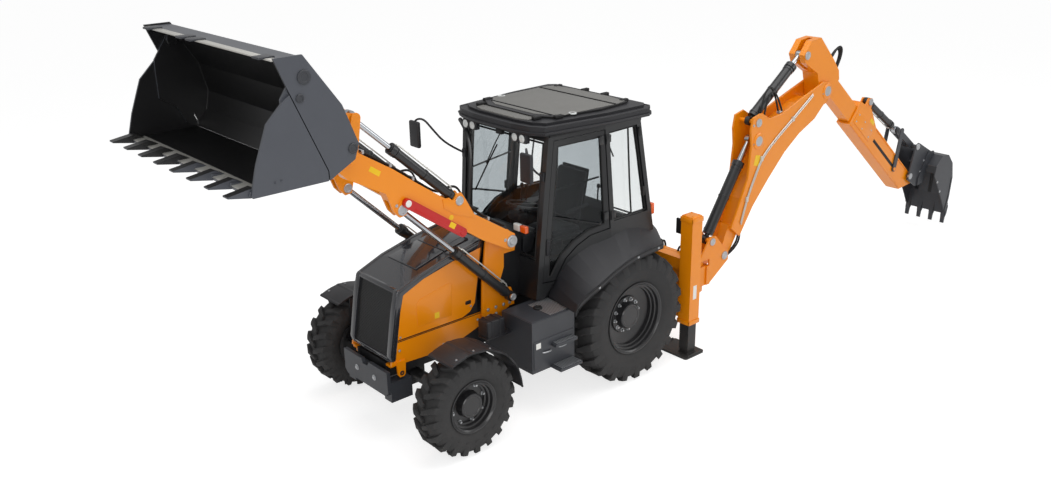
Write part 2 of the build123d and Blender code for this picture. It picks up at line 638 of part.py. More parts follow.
with BuildPart() as pane_shell:
    add(cab_solid(30))
    add(cab_solid(30 + GLASS), mode=Mode.SUBTRACT)
with BuildPart() as panes:
    add(across([(-570, 1465), (570, 1465), (595, 2665), (-595, 2665)], 760, 1010))
    add(across([(-720, 1585), (720, 1585), (590, 2665), (-590, 2665)], -600, -400))
    add(plate(QUARTER_PANE, CAB_HALF_Y, CAB_HALF_Y - 400))
    add(plate(QUARTER_PANE, -400, CAB_HALF_Y - 400))
    add(pane_shell.part, mode=Mode.INTERSECT)
write(panes.part, "cab_glass")

roof_plan = [(1000, 300), (962, 530), (882, 660), (110, 772), (-440, 790), (-515, 720)]
with BuildPart() as cab_roof:
    mirrored = [(x, -y) for x, y in reversed(roof_plan)]
    add(slab(roof_plan + mirrored, CAB_ROOF_Z, ROOF_TOP_Z - CAB_ROOF_Z - 45))
    top = [(x * 0.93 - 5, y * 0.92) for x, y in roof_plan]
    add(slab(top + [(x, -y) for x, y in reversed(top)], ROOF_TOP_Z - 45, 25))
    panel = [(760, 330), (640, 520), (80, 600), (-330, 560), (-380, 300)]
    add(slab(panel + [(x, -y) for x, y in reversed(panel)], ROOF_TOP_Z - 20, 20))
write(cab_roof.part, "cab_roof")

# Doors: a leaf in the doorway, cut for its glass, both slices of the leaning wall
with BuildPart() as door_left:
    add(cab_solid(5))
    add(cab_solid(40), mode=Mode.SUBTRACT)
    add(plate(LEAF, CAB_HALF_Y, CAB_HALF_Y - 300), mode=Mode.INTERSECT)
    add(plate(PANE, CAB_HALF_Y, CAB_HALF_Y - 300), mode=Mode.SUBTRACT)
with BuildPart() as door_left_glass:
    add(cab_solid(18))
    add(cab_solid(18 + GLASS), mode=Mode.SUBTRACT)
    add(plate(PANE, CAB_HALF_Y, CAB_HALF_Y - 300), mode=Mode.INTERSECT)
write(door_left.part, "door_left")
write(door_left_glass.part, "door_left_glass")
write(mirror(door_left.part, about=Plane.XZ), "door_right")
write(mirror(door_left_glass.part, about=Plane.XZ), "door_right_glass")

# Rear fenders: a crowned shell from the cab's side out over the tyre, with a lip
FENDER_IN = [(830, 1075), (765, 1190), (717, 1292), (640, 1410), (511, 1516), (355, 1592), (140, 1640),
             (-20, 1680), (-230, 1690), (-470, 1632), (-640, 1530), (-760, 1400)]
FENDER_OUT = [(925, 1085), (895, 1150), (786, 1208), (672, 1252), (557, 1292), (460, 1334), (360, 1372),
              (240, 1410), (122, 1442), (0, 1458), (-125, 1469), (-325, 1479)]
FENDER_Y = (640.0, 1120.0)
with BuildPart() as rear_fenders:
    for y, line in zip(FENDER_Y, (FENDER_IN, FENDER_OUT)):
        with BuildSketch(side_plane(y)):
            with BuildLine():
                Polyline(*line, *[(x, z - 16) for x, z in reversed(line)], close=True)
            make_face()
    loft(ruled=True)
    lip = FENDER_OUT + [(x, z - 48) for x, z in reversed(FENDER_OUT)]
    add(plate(lip, FENDER_Y[1] + 12, 12))
    add(cab_body.part, mode=Mode.SUBTRACT)
write(both_sides(rear_fenders.part), "rear_fenders")

with BuildPart() as side_boxes:
    add(both_sides(block((800, 1360), (RAIL_Y, 980), (500, 855))))
    add(both_sides(block((800, 1360), (530, 980), (855, 1040))))
    for z, y_out in ((420, 1130), (660, 1060)):
        add(both_sides(block((830, 1120), (980, y_out), (z + 80, z + 110))))
write(side_boxes.part, "side_boxes")

# Seat and controls
with BuildPart() as seat:
    add(block((-60, 420), (-250, 250), (1420, 1530)))
    add(plate([(-60, 1530), (60, 1530), (-60, 2130), (-170, 2130)], 240, 480))
    add(block((80, 280), (-120, 120), (1090, 1420)))
write(seat.part, "seat")

with BuildPart() as controls:
    add(bar((755, 0, 1110), (600, 0, 1800), 40))
    add(block((690, 820), (-90, 90), (1091, 1130)))
    wheel_plane = Plane(origin=(REAR_AXLE_X + 595, 0, 1822), z_dir=(-0.22, 0, 0.975))
    with BuildSketch(wheel_plane):
        Circle(190)
        Circle(160, mode=Mode.SUBTRACT)
        Rectangle(340, 40)
    extrude(amount=25)
write(controls.part, "controls")

# Mirrors on bent arms, and roof lamps
with BuildPart() as mirrors:
    arm = tube([(886, 610, 2330), (1060, 680, 2440), (1240, 800, 2730), (1300, 880, 2700),
                (1300, 880, 2560)], 11, 30)
    head = block((1285, 1330), (800, 960), (2420, 2700))
    add(both_sides(arm))
    add(both_sides(head))
write(mirrors.part, "mirrors")

with BuildPart() as lamps:
    for x, y in ((930, 440), (930, 330)):
        add(both_sides(block((x, x + 45), (y - 48, y + 48), (2655, CAB_ROOF_Z))))
    for x, y in ((-508, 560), (-508, 450)):
        add(both_sides(block((x, x + 45), (y - 48, y + 48), (2655, CAB_ROOF_Z))))
write(lamps.part, "lamps")

# Rear frame: the rails that the backhoe shifts along, with the stabiliser legs' sleeves
SLEEVE = 80.0
SLEEVE_WALL = 12.0
FRAME_X = (-1000.0, -880.0)
with BuildPart() as rear_frame:
    for z in (400.0, 960.0):
        add(block(FRAME_X, (-STABILISER_Y + SLEEVE, STABILISER_Y - SLEEVE), (z, z + 130)))
    add(block((-960, -920), (-900, 900), (530, 960)))
    sleeve = block((STABILISER_X - SLEEVE, STABILISER_X + SLEEVE),
                   (STABILISER_Y - SLEEVE, STABILISER_Y + SLEEVE), (380, 1620))
    add(both_sides(sleeve))
    hollow = SLEEVE - SLEEVE_WALL
    for y in (STABILISER_Y, -STABILISER_Y):
        with BuildSketch(plan_plane(300)):
            with Locations((STABILISER_X, y)):
                Rectangle(2 * hollow, 2 * hollow)
        extrude(amount=1300, mode=Mode.SUBTRACT)
write(rear_frame.part, "rear_frame")

with BuildPart() as stabiliser_left:
    leg = hollow - CLEAR
    add(block((STABILISER_X - leg, STABILISER_X + leg), (STABILISER_Y - leg, STABILISER_Y + leg), (70, 1100)))
    with BuildSketch(plan_plane(0)):
        with Locations((PAD_X, PAD_Y)):
            RectangleRounded(310, 436, 30)
    extrude(amount=25)
    add(block((STABILISER_X - 58, STABILISER_X + 58), (STABILISER_Y - 58, STABILISER_Y + 58), (25, 90)))
write(stabiliser_left.part, "stabiliser_left")
write(mirror(stabiliser_left.part, about=Plane.XZ), "stabiliser_right")

# Side-shift carriage with the kingpost brackets
CARRIAGE_FRONT = FRAME_X[0] - CLEAR
with BuildPart() as carriage:
    add(block((CARRIAGE_FRONT - 60, CARRIAGE_FRONT), (HOE_Y - 300, HOE_Y + 300), (400, 1090)))
    for z in (440.0, 760.0):
        add(slab([(CARRIAGE_FRONT - 60, HOE_Y - 200), (KINGPOST[0] - 60, HOE_Y - 70),
                  (KINGPOST[0] - 60, HOE_Y + 70), (CARRIAGE_FRONT - 60, HOE_Y + 200)], z, 70))
    with BuildSketch(plan_plane(400)):
        with Locations((KINGPOST[0], HOE_Y)):
            Circle(40 + PIN_CLEAR)
    extrude(amount=600, mode=Mode.SUBTRACT)
write(carriage.part, "carriage")

# Swing post: the casting that turns on the kingpost and holds the boom's foot
with BuildPart() as swing_post:
    with BuildSketch(plan_plane(440)):
        with Locations((KINGPOST[0], HOE_Y)):
            Circle(40)
    extrude(amount=390)
    add(block((KINGPOST[0] - 90, KINGPOST[0] + 90), (HOE_Y - 95, HOE_Y + 95), (515, 755)))
    ear = [(KINGPOST[0] + 40, 870), (KINGPOST[0] + 40, 836), (KINGPOST[0] - 120, 836),
           (KINGPOST[0] - 120, 520), (-1960, 740), (-1960, 860), (-1900, 890), (-1720, 1090),
           (-1620, 1100)]
    for y_left in (HOE_Y + 112, HOE_Y - 92):
        add(plate(ear, y_left, 20))
    add(block((KINGPOST[0] - 120, KINGPOST[0] + 60), (HOE_Y - 112, HOE_Y + 112), (836, 876)))
    add(block((KINGPOST[0] - 140, KINGPOST[0] - 80), (HOE_Y - 112, HOE_Y + 112), (520, 750)))
    add(disc(BOOM_FOOT, HOE_Y + 112, 224, PIN_R))
    add(disc(BOOM_CYL_BASE, HOE_Y + 112, 224, PIN_R))
write(swing_post.part, "swing_post")

# Boom: side plates with a hump that holds both cylinders, joined by webs
BOOM_OUTLINE = [(-1850, 760), (-1840, 860), (-1960, 1130), (-2220, 1680), (-2255, 2040), (-2230, 2240),
                (-2260, 2390), (-2400, 2420), (-2560, 2330), (-2780, 2350), (-3220, 2490), (-3620, 2610),
                (-3740, 2590), (-3790, 2500), (-3760, 2410), (-3620, 2310), (-3470, 2180), (-3170, 2050),
                (-2900, 1870), (-2600, 1590), (-2340, 1320), (-2120, 1000), (-1960, 740), (-1900, 720)]
FOOT_HALF = 112 - 20 - CLEAR
POCKET_HALF = 76.0
with BuildPart() as boom:
    for y_left in (HOE_Y + BOOM_HALF, HOE_Y - BOOM_HALF + BOOM_PLATE):
        add(plate(BOOM_OUTLINE[2:22], y_left, BOOM_PLATE))
    web = [(-2085, 1130), (-2200, 1425), (-2345, 1665), (-2515, 1885), (-2590, 2000), (-2680, 2120),
           (-2840, 2240), (-3220, 2400), (-3420, 2440),
           (-3400, 2150), (-3170, 2050), (-2900, 1870), (-2600, 1590), (-2340, 1320), (-2120, 1000)]
    add(plate(web, HOE_Y + BOOM_HALF, 2 * BOOM_HALF))
    foot = [(-1850, 760), (-1840, 860), (-1960, 1130), (-2120, 1130), (-2120, 1000), (-1960, 740),
            (-1900, 720)]
    add(plate(foot, HOE_Y + FOOT_HALF, 2 * FOOT_HALF))
    with BuildSketch(side_plane(HOE_Y + BOOM_HALF)):
        with Locations(BOOM_FOOT):
            Circle(PIN_R + PIN_CLEAR)
        with Locations(ELBOW):
            Circle(PIN_R + PIN_CLEAR)
    extrude(amount=2 * BOOM_HALF, mode=Mode.SUBTRACT)
    pocket = [(-1500, 540), (-1728, 540), (-2040, 1150), (-2190, 1425), (-2340, 1665), (-2508, 1885),
              (-2575, 1990), (-2480, 2160), (-2250, 2160), (-1700, 1300)]
    with BuildSketch(side_plane(HOE_Y + POCKET_HALF)):
        with BuildLine():
            Polyline(*pocket, close=True)
        make_face()
    extrude(amount=2 * POCKET_HALF, mode=Mode.SUBTRACT)
    add(disc(DIPPER_CYL_BASE, HOE_Y + BOOM_HALF, 2 * BOOM_HALF, PIN_R))
write(boom.part, "boom")

# Dipper frame: u runs down the dipper from the elbow, n stands square to it
slope = radians(DIPPER_SLOPE)


def dipper_point(u, n):
    """Point of the dipper's own frame in the side view."""
    return (ELBOW[0] - u * cos(slope) - n * sin(slope), ELBOW[1] - u * sin(slope) + n * cos(slope))


def dipper_plate(points, y_left, width):
    """Plate drawn in the dipper's own frame."""
    return plate([dipper_point(u, n) for u, n in points], y_left, width)


DIPPER_HALF = 75.0
SLIDE_WALL = 15.0
DIPPER_ROOT_HALF = BOOM_HALF - BOOM_PLATE - CLEAR
with BuildPart() as dipper:
    add(dipper_plate([(60, 22), (1580, 22), (1580, 258), (60, 258)], HOE_Y + DIPPER_HALF, 2 * DIPPER_HALF))
    add(dipper_plate([(-120, -60), (-60, -120), (120, -120), (150, 22), (150, 258), (60, 330), (-135, 363),
                      (-560, 400), (-700, 260), (-700, 60), (-600, 10), (-300, 60)],
                     HOE_Y + DIPPER_ROOT_HALF, 2 * DIPPER_ROOT_HALF))
    with BuildSketch(side_plane(HOE_Y + EYE_HALF + CLEAR)):
        with Locations(DIPPER_TOP_PIN):
            Circle(260)
    extrude(amount=2 * (EYE_HALF + CLEAR), mode=Mode.SUBTRACT)
    add(disc(ELBOW, HOE_Y + BOOM_HALF, 2 * BOOM_HALF, PIN_R))
write(dipper.part, "dipper")

slide_y = DIPPER_HALF + CLEAR + SLIDE_WALL
with BuildPart() as dipper_slide:
    add(dipper_plate([(820, -10), (830, 337), (1140, 400), (1420, 290), (2830, 290), (2860, 200), (2640, -10)],
                     HOE_Y + slide_y, 2 * slide_y))
    with BuildSketch(side_plane(HOE_Y + DIPPER_HALF + CLEAR)):
        with BuildLine():
            Polyline(*[dipper_point(u, n) for u, n in ((700, 16), (2500, 16), (2500, 264), (700, 264))],
                     close=True)
        make_face()
    extrude(amount=2 * (DIPPER_HALF + CLEAR), mode=Mode.SUBTRACT)
    for y_left in (HOE_Y + EYE_HALF + CLEAR + 20, HOE_Y - EYE_HALF - CLEAR):
        add(dipper_plate([(1035, 370), (1030, 500), (1100, 540), (1138, 505), (1230, 340)], y_left, 20))
    add(disc(dipper_point(*BUCKET_CYL_BASE), HOE_Y + EYE_HALF + CLEAR + 20, 2 * (EYE_HALF + CLEAR + 20),
             PIN_R))
    add(disc(dipper_point(*GUIDE_BASE), HOE_Y + slide_y + 25, 2 * slide_y + 50, PIN_R))
    with BuildSketch(side_plane(HOE_Y + slide_y)):
        with Locations(dipper_point(*NOSE)):
            Circle(PIN_R + PIN_CLEAR)
    extrude(amount=2 * slide_y, mode=Mode.SUBTRACT)
write(dipper_slide.part, "dipper_slide")

# Bucket linkage: guide links outside the dipper, a bucket link, the coupler and the bucket
GUIDE_IN = slide_y + CLEAR
with BuildPart() as guide_links:
    for y_left in (HOE_Y + GUIDE_IN + 15, HOE_Y - GUIDE_IN):
        add(link_plate(dipper_point(*GUIDE_BASE), dipper_point(*GUIDE_EYE), 40, y_left, 15,
                       [dipper_point(*GUIDE_BASE)]))
write(guide_links.part, "guide_links")

with BuildPart() as bucket_link:
    for y_left in (HOE_Y + EYE_HALF + CLEAR + 20, HOE_Y - EYE_HALF - CLEAR):
        add(link_plate(dipper_point(*GUIDE_EYE), dipper_point(*COUPLER_LINK), 40, y_left, 20,
                       [dipper_point(*COUPLER_LINK)]))
write(bucket_link.part, "bucket_link")

COUPLER_IN = GUIDE_IN + 15 + CLEAR
with BuildPart() as coupler:
    nose, apex = dipper_point(*NOSE), dipper_point(*COUPLER_LINK)
    cheek = [(nose[0] + 60, nose[1] - 40), (apex[0] + 50, apex[1] + 20), (apex[0] - 30, apex[1] + 50),
             (-6430, 1200), (-6450, 1140), (-6330, 1060), (-6215, 790), (-6150, 760), (-6080, 760)]
    for y_left in (HOE_Y + COUPLER_IN + 20, HOE_Y - COUPLER_IN):
        add(plate(cheek, y_left, 20))
    add(disc(nose, HOE_Y + COUPLER_IN, 2 * COUPLER_IN, PIN_R))
    add(disc(apex, HOE_Y + COUPLER_IN, 2 * COUPLER_IN, PIN_R))
    add(disc((-6170, 810), HOE_Y + COUPLER_IN + 40, 2 * COUPLER_IN + 80, PIN_R))
    add(disc((-6400, 1160), HOE_Y + COUPLER_IN + 40, 2 * COUPLER_IN + 80, PIN_R))
write(coupler.part, "coupler")

BUCKET_HALF = 305.0
HOE_BACK = [(-6150, 790), (-6300, 1000), (-6470, 1150), (-6640, 1120), (-6770, 980), (-6820, 760),
            (-6790, 480), (-6730, 230)]
with BuildPart() as hoe_bucket:
    shell = sheet_outline([(-6330, 1020), (-6480, 1140), (-6640, 1120), (-6770, 980), (-6820, 760),
                           (-6790, 480), (-6730, 230)], -14)
    add(plate(shell, HOE_Y + BUCKET_HALF, 2 * BUCKET_HALF))
    for y_left in (HOE_Y + BUCKET_HALF, HOE_Y - BUCKET_HALF + 14):
        add(plate([(-6300, 900), (-6330, 1020), (-6480, 1140), (-6640, 1120), (-6770, 980), (-6820, 760),
                   (-6790, 480), (-6730, 230), (-6620, 420), (-6480, 640)], y_left, 14))
    for y_left in (HOE_Y + COUPLER_IN + 40, HOE_Y - COUPLER_IN - 20):
        add(plate([(-6120, 760), (-6120, 860), (-6330, 1210), (-6480, 1200), (-6500, 1110), (-6330, 1000),
                   (-6240, 780)], y_left, 20))
    with BuildSketch(side_plane(HOE_Y + BUCKET_HALF)):
        with Locations((-6170, 810), (-6400, 1160)):
            Circle(PIN_R + PIN_CLEAR)
    extrude(amount=2 * BUCKET_HALF, mode=Mode.SUBTRACT)
    for k in range(4):
        y = HOE_Y + (k - 1.5) * 186
        add(plate([(-6768, 380), (-6795, 380), (-6760, 240), (-6728, 90), (-6714, 90), (-6716, 240)],
                  y + 28, 56))
write(hoe_bucket.part, "hoe_bucket")

# Backhoe cylinders
DIPPER_EYE = DIPPER_TOP_PIN
write(cylinder_barrel(BOOM_CYL_BASE, BOOM_ROD_PIN, HOE_Y, 62, 990, 34), "boom_barrel")
write(cylinder_rod(BOOM_CYL_BASE, BOOM_ROD_PIN, HOE_Y, 32, 1000), "boom_rod")
write(cylinder_barrel(DIPPER_CYL_BASE, DIPPER_TOP_PIN, HOE_Y, 60, 930, 32), "dipper_barrel")
write(cylinder_rod(DIPPER_CYL_BASE, DIPPER_TOP_PIN, HOE_Y, 30, 930), "dipper_rod")
bucket_base, guide_eye = dipper_point(*BUCKET_CYL_BASE), dipper_point(*GUIDE_EYE)
write(cylinder_barrel(bucket_base, guide_eye, HOE_Y, 46, 775, 25), "bucket_barrel")
write(cylinder_rod(bucket_base, guide_eye, HOE_Y, 23, 765), "bucket_rod")

# Safety strut stored under the left arm
with BuildPart() as safety_strut:
    add(link_plate((2400, 2390), (1810, 1975), 45, ARM_Y + ARM_HALF + 45, 40))
write(safety_strut.part, "safety_strut")
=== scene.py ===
"""Looks of a backhoe loader: finishes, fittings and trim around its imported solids.

Lengths are metres in the machine's own frame: X forward, Y to its left, Z up. Places taken from
the side views are given from above the rear axle and moved forward by REAR_AXLE_X.
"""
from __future__ import annotations

import json
import logging
import math
from dataclasses import dataclass, field
from enum import Enum

import bpy
from mathutils import Matrix, Vector

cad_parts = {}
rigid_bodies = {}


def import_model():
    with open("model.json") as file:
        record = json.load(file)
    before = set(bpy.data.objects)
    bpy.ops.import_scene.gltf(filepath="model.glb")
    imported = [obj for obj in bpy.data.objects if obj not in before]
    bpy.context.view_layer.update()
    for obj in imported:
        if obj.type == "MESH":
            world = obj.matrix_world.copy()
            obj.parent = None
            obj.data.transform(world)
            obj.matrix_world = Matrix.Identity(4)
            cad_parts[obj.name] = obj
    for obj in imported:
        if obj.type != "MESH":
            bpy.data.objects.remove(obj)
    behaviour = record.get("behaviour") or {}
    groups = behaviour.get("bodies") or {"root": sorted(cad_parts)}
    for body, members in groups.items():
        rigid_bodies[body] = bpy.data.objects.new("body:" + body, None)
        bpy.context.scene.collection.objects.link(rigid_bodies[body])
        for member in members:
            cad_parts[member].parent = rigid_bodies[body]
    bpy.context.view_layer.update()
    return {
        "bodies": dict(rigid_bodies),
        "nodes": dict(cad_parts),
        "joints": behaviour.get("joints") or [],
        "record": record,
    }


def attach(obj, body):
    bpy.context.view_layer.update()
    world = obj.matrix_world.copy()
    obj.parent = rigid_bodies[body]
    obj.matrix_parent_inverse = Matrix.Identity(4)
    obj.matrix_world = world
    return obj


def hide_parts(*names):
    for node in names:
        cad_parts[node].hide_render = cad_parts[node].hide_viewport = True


LOG = logging.getLogger("backhoe_loader")
Point = tuple[float, float, float]
Flat = tuple[float, float]
Piece = bpy.types.Object

REAR_AXLE_X = 1.2565
FRONT_AXLE: Flat = (2.175, 0.5)
REAR_AXLE: Flat = (0.0, 0.709)
# Planes of the backhoe and of the left loader arm
HOE_Y = 0.585
ARM_Y = 0.45

# Ways that bolts, caps and turned pieces stand
AHEAD: Point = (1, 0, 0)
BACK: Point = (-1, 0, 0)
LEFT: Point = (0, 1, 0)
RIGHT: Point = (0, -1, 0)
UP: Point = (0, 0, 1)

# Side of the machine: sign of its Y
SIDES = (("left", 1), ("right", -1))
# Edges sharper than the first are rounded, faces flatter than the second are shaded as one
EDGE_ANGLE = math.radians(32)
SMOOTH_ANGLE = math.radians(35)


def at(x: float, y: float, z: float) -> Point:
    """Give a place measured from above the rear axle in the machine's frame."""
    return x + REAR_AXLE_X, y, z


def flip(sign: int) -> Matrix:
    """Give the placing that keeps a left piece at 1 and mirrors it to the right at -1."""
    return Matrix.Diagonal((1, sign, 1, 1))


def around(count: int, radius: float) -> list[Flat]:
    """Give places spaced evenly round a circle."""
    return [(radius * math.cos(a), radius * math.sin(a))
            for a in (2 * math.pi * k / count for k in range(count))]


def linear(code: str, alpha: float = 1.0) -> tuple[float, float, float, float]:
    """Turn an sRGB hex colour into linear values.

    Args:
        code: Six hex digits.
        alpha: Fourth value.

    Returns:
        Red, green, blue and alpha.
    """
    parts = [int(code[i:i + 2], 16) / 255 for i in (0, 2, 4)]
    values = [p / 12.92 if p <= 0.04045 else ((p + 0.055) / 1.055) ** 2.4 for p in parts]
    return values[0], values[1], values[2], alpha


def add_node(tree: bpy.types.NodeTree, kind: str, settings: dict[str, object] | None = None,
             links: dict[str, bpy.types.NodeSocket] | None = None) -> bpy.types.Node:
    """Add a node with its settings and links.

    Args:
        tree: Node tree of the material.
        kind: Node type.
        settings: Attribute or input names with their values.
        links: Input names, or input numbers as text, with the sockets that feed them.

    Returns:
        The new node.
    """
    node = tree.nodes.new(kind)
    for name, value in (settings or {}).items():
        if hasattr(node, name):
            setattr(node, name, value)
        else:
            node.inputs[name].default_value = value
    for name, socket in (links or {}).items():
        target = node.inputs[int(name)] if name.isdigit() else node.inputs[name]
        tree.links.new(socket, target)
    return node


def new_material(name: str) -> bpy.types.Material:
    """Make a material with an empty node tree."""
    material = bpy.data.materials.new(name)
    material.use_nodes = True
    material.node_tree.nodes.clear()
    return material


@dataclass(frozen=True)
class Finish:
    """A surface finish: its colours, gloss and the relief that the eye sees on it.

    Scales are real sizes in millimetres, drawn coarser where the real grain would not show.
    """

    name: str
    slot: str
    colour: str
    mottle: str
    roughness: float
    rough_spread: float = 0.06
    mottle_mm: float = 400.0
    grain_mm: float = 6.0
    grain_depth: float = 0.02
    metallic: float = 0.0
    coat: float = 0.0
    coat_roughness: float = 0.06
    dust: str = "8a8580"
    dust_share: float = 0.0
    dust_top: float = 0.9
    sheen: float = 0.0
    # Painted shade: faces that look towards inside_of, the bucket's shadowed hollow, take this
    # near-black colour
    inside: str = ""
    inside_of: Point = (5.02, 0.0, 3.42)

    def build(self) -> bpy.types.Material:
        """Make the material's nodes.

        Returns:
            The material.
        """
        material = new_material(self.name)
        tree = material.node_tree
        place = add_node(tree, "ShaderNodeTexCoord").outputs["Object"]
        broad = add_node(
            tree, "ShaderNodeTexNoise",
            {"Scale": 1000.0 / self.mottle_mm, "Detail": 4.0, "Roughness": 0.6}, {"Vector": place})
        fine = add_node(tree, "ShaderNodeTexNoise",
                        {"Scale": 1000.0 / self.grain_mm, "Detail": 2.0}, {"Vector": place})
        colour = add_node(tree, "ShaderNodeMix", {"data_type": "RGBA"}, {"0": broad.outputs["Fac"]})
        colour.inputs[6].default_value = linear(self.colour)
        colour.inputs[7].default_value = linear(self.mottle)
        result = colour.outputs[2]
        if self.dust_share > 0:
            result = self.dusted(tree, place, result)
        # Painted shade on a bucket's inside
        if self.inside:
            result = self.shade_inside(tree, result)
        rough = add_node(tree, "ShaderNodeMapRange",
                         {"To Min": max(self.roughness - self.rough_spread, 0.02),
                          "To Max": min(self.roughness + self.rough_spread, 1.0)},
                         {"Value": broad.outputs["Fac"]})
        relief = add_node(
            tree, "ShaderNodeBump", {"Strength": 0.35, "Distance": self.grain_depth * 0.001},
            {"Height": fine.outputs["Fac"]})
        shader = add_node(tree, "ShaderNodeBsdfPrincipled",
                          {"Metallic": self.metallic, "Coat Weight": self.coat,
                           "Coat Roughness": self.coat_roughness, "Sheen Weight": self.sheen},
                          {"Base Color": result, "Roughness": rough.outputs["Result"],
                           "Normal": relief.outputs["Normal"]})
        add_node(tree, "ShaderNodeOutputMaterial", {}, {"Surface": shader.outputs["BSDF"]})
        return material

    def dusted(self, tree: bpy.types.NodeTree, place: bpy.types.NodeSocket,
               clean: bpy.types.NodeSocket) -> bpy.types.NodeSocket:
        """Lay dust over the colour, thickest at the ground.

        Args:
            tree: Node tree of the material.
            place: Object coordinates.
            clean: Colour without the dust.

        Returns:
            The dusty colour.
        """
        height = add_node(tree, "ShaderNodeSeparateXYZ", {}, {"Vector": place})
        low = add_node(tree, "ShaderNodeMapRange",
                       {"From Min": 0.0, "From Max": self.dust_top, "To Min": self.dust_share,
                        "To Max": 0.0}, {"Value": height.outputs["Z"]})
        patch = add_node(tree, "ShaderNodeTexNoise",
                         {"Scale": 7.0, "Detail": 6.0, "Roughness": 0.7}, {"Vector": place})
        share = add_node(tree, "ShaderNodeMath", {"operation": "MULTIPLY"},
                         {"0": low.outputs["Result"], "1": patch.outputs["Fac"]})
        dusty = add_node(tree, "ShaderNodeMix", {"data_type": "RGBA"},
                         {"0": share.outputs["Value"], "6": clean})
        dusty.inputs[7].default_value = linear(self.dust)
        return dusty.outputs[2]

    def shade_inside(self, tree: bpy.types.NodeTree, outer: bpy.types.NodeSocket) -> bpy.types.NodeSocket:
        """Paint shade on the faces that look towards a point inside a bucket, where its hollow lies
        in shadow.

        Args:
            tree: Node tree of the material.
            outer: Colour of the other faces.

        Returns:
            The colour with the painted shade inside.
        """
        place = add_node(tree, "ShaderNodeTexCoord")
        inward = add_node(tree, "ShaderNodeVectorMath", {"operation": "SUBTRACT"},
                          {"1": place.outputs["Object"]})
        inward.inputs[0].default_value = self.inside_of
        facing = add_node(tree, "ShaderNodeVectorMath", {"operation": "DOT_PRODUCT"},
                          {"0": inward.outputs["Vector"], "1": place.outputs["Normal"]})
        share = add_node(tree, "ShaderNodeMapRange", {"From Min": 0.0, "From Max": 0.12},
                         {"Value": facing.outputs["Value"]})
        both = add_node(tree, "ShaderNodeMix", {"data_type": "RGBA"},
                        {"0": share.outputs["Result"], "6": outer})
        both.inputs[7].default_value = linear(self.inside)
        return both.outputs[2]


@dataclass(frozen=True)
class Glazing:
    """Toughened float glass with a grey tint: clear from near, dark and mirror-like at a slant."""

    name: str
    slot: str
    colour: str

    def build(self) -> bpy.types.Material:
        """Make the material's nodes.

        Returns:
            The material.
        """
        material = new_material(self.name)
        tree = material.node_tree
        place = add_node(tree, "ShaderNodeTexCoord").outputs["Object"]
        smear = add_node(tree, "ShaderNodeTexNoise", {"Scale": 3.0, "Detail": 3.0},
                         {"Vector": place})
        rough = add_node(tree, "ShaderNodeMapRange", {"To Min": 0.01, "To Max": 0.05},
                         {"Value": smear.outputs["Fac"]})
        clear = add_node(tree, "ShaderNodeBsdfTransparent", {"Color": linear(self.colour)})
        gloss = add_node(tree, "ShaderNodeBsdfGlossy", {"Color": linear("eef2f4")},
                         {"Roughness": rough.outputs["Result"]})
        slant = add_node(tree, "ShaderNodeFresnel", {"IOR": 1.45})
        side = add_node(tree, "ShaderNodeNewGeometry")
        outer = add_node(tree, "ShaderNodeMath", {"operation": "SUBTRACT"},
                         {"1": side.outputs["Backfacing"]})
        outer.inputs[0].default_value = 1.0
        lift = add_node(tree, "ShaderNodeMath", {"operation": "MULTIPLY"},
                        {"0": slant.outputs["Fac"], "1": outer.outputs["Value"]})
        pane = add_node(
            tree, "ShaderNodeMixShader", {},
            {"0": lift.outputs["Value"], "1": clear.outputs["BSDF"], "2": gloss.outputs["BSDF"]})
        add_node(tree, "ShaderNodeOutputMaterial", {}, {"Surface": pane.outputs["Shader"]})
        return material


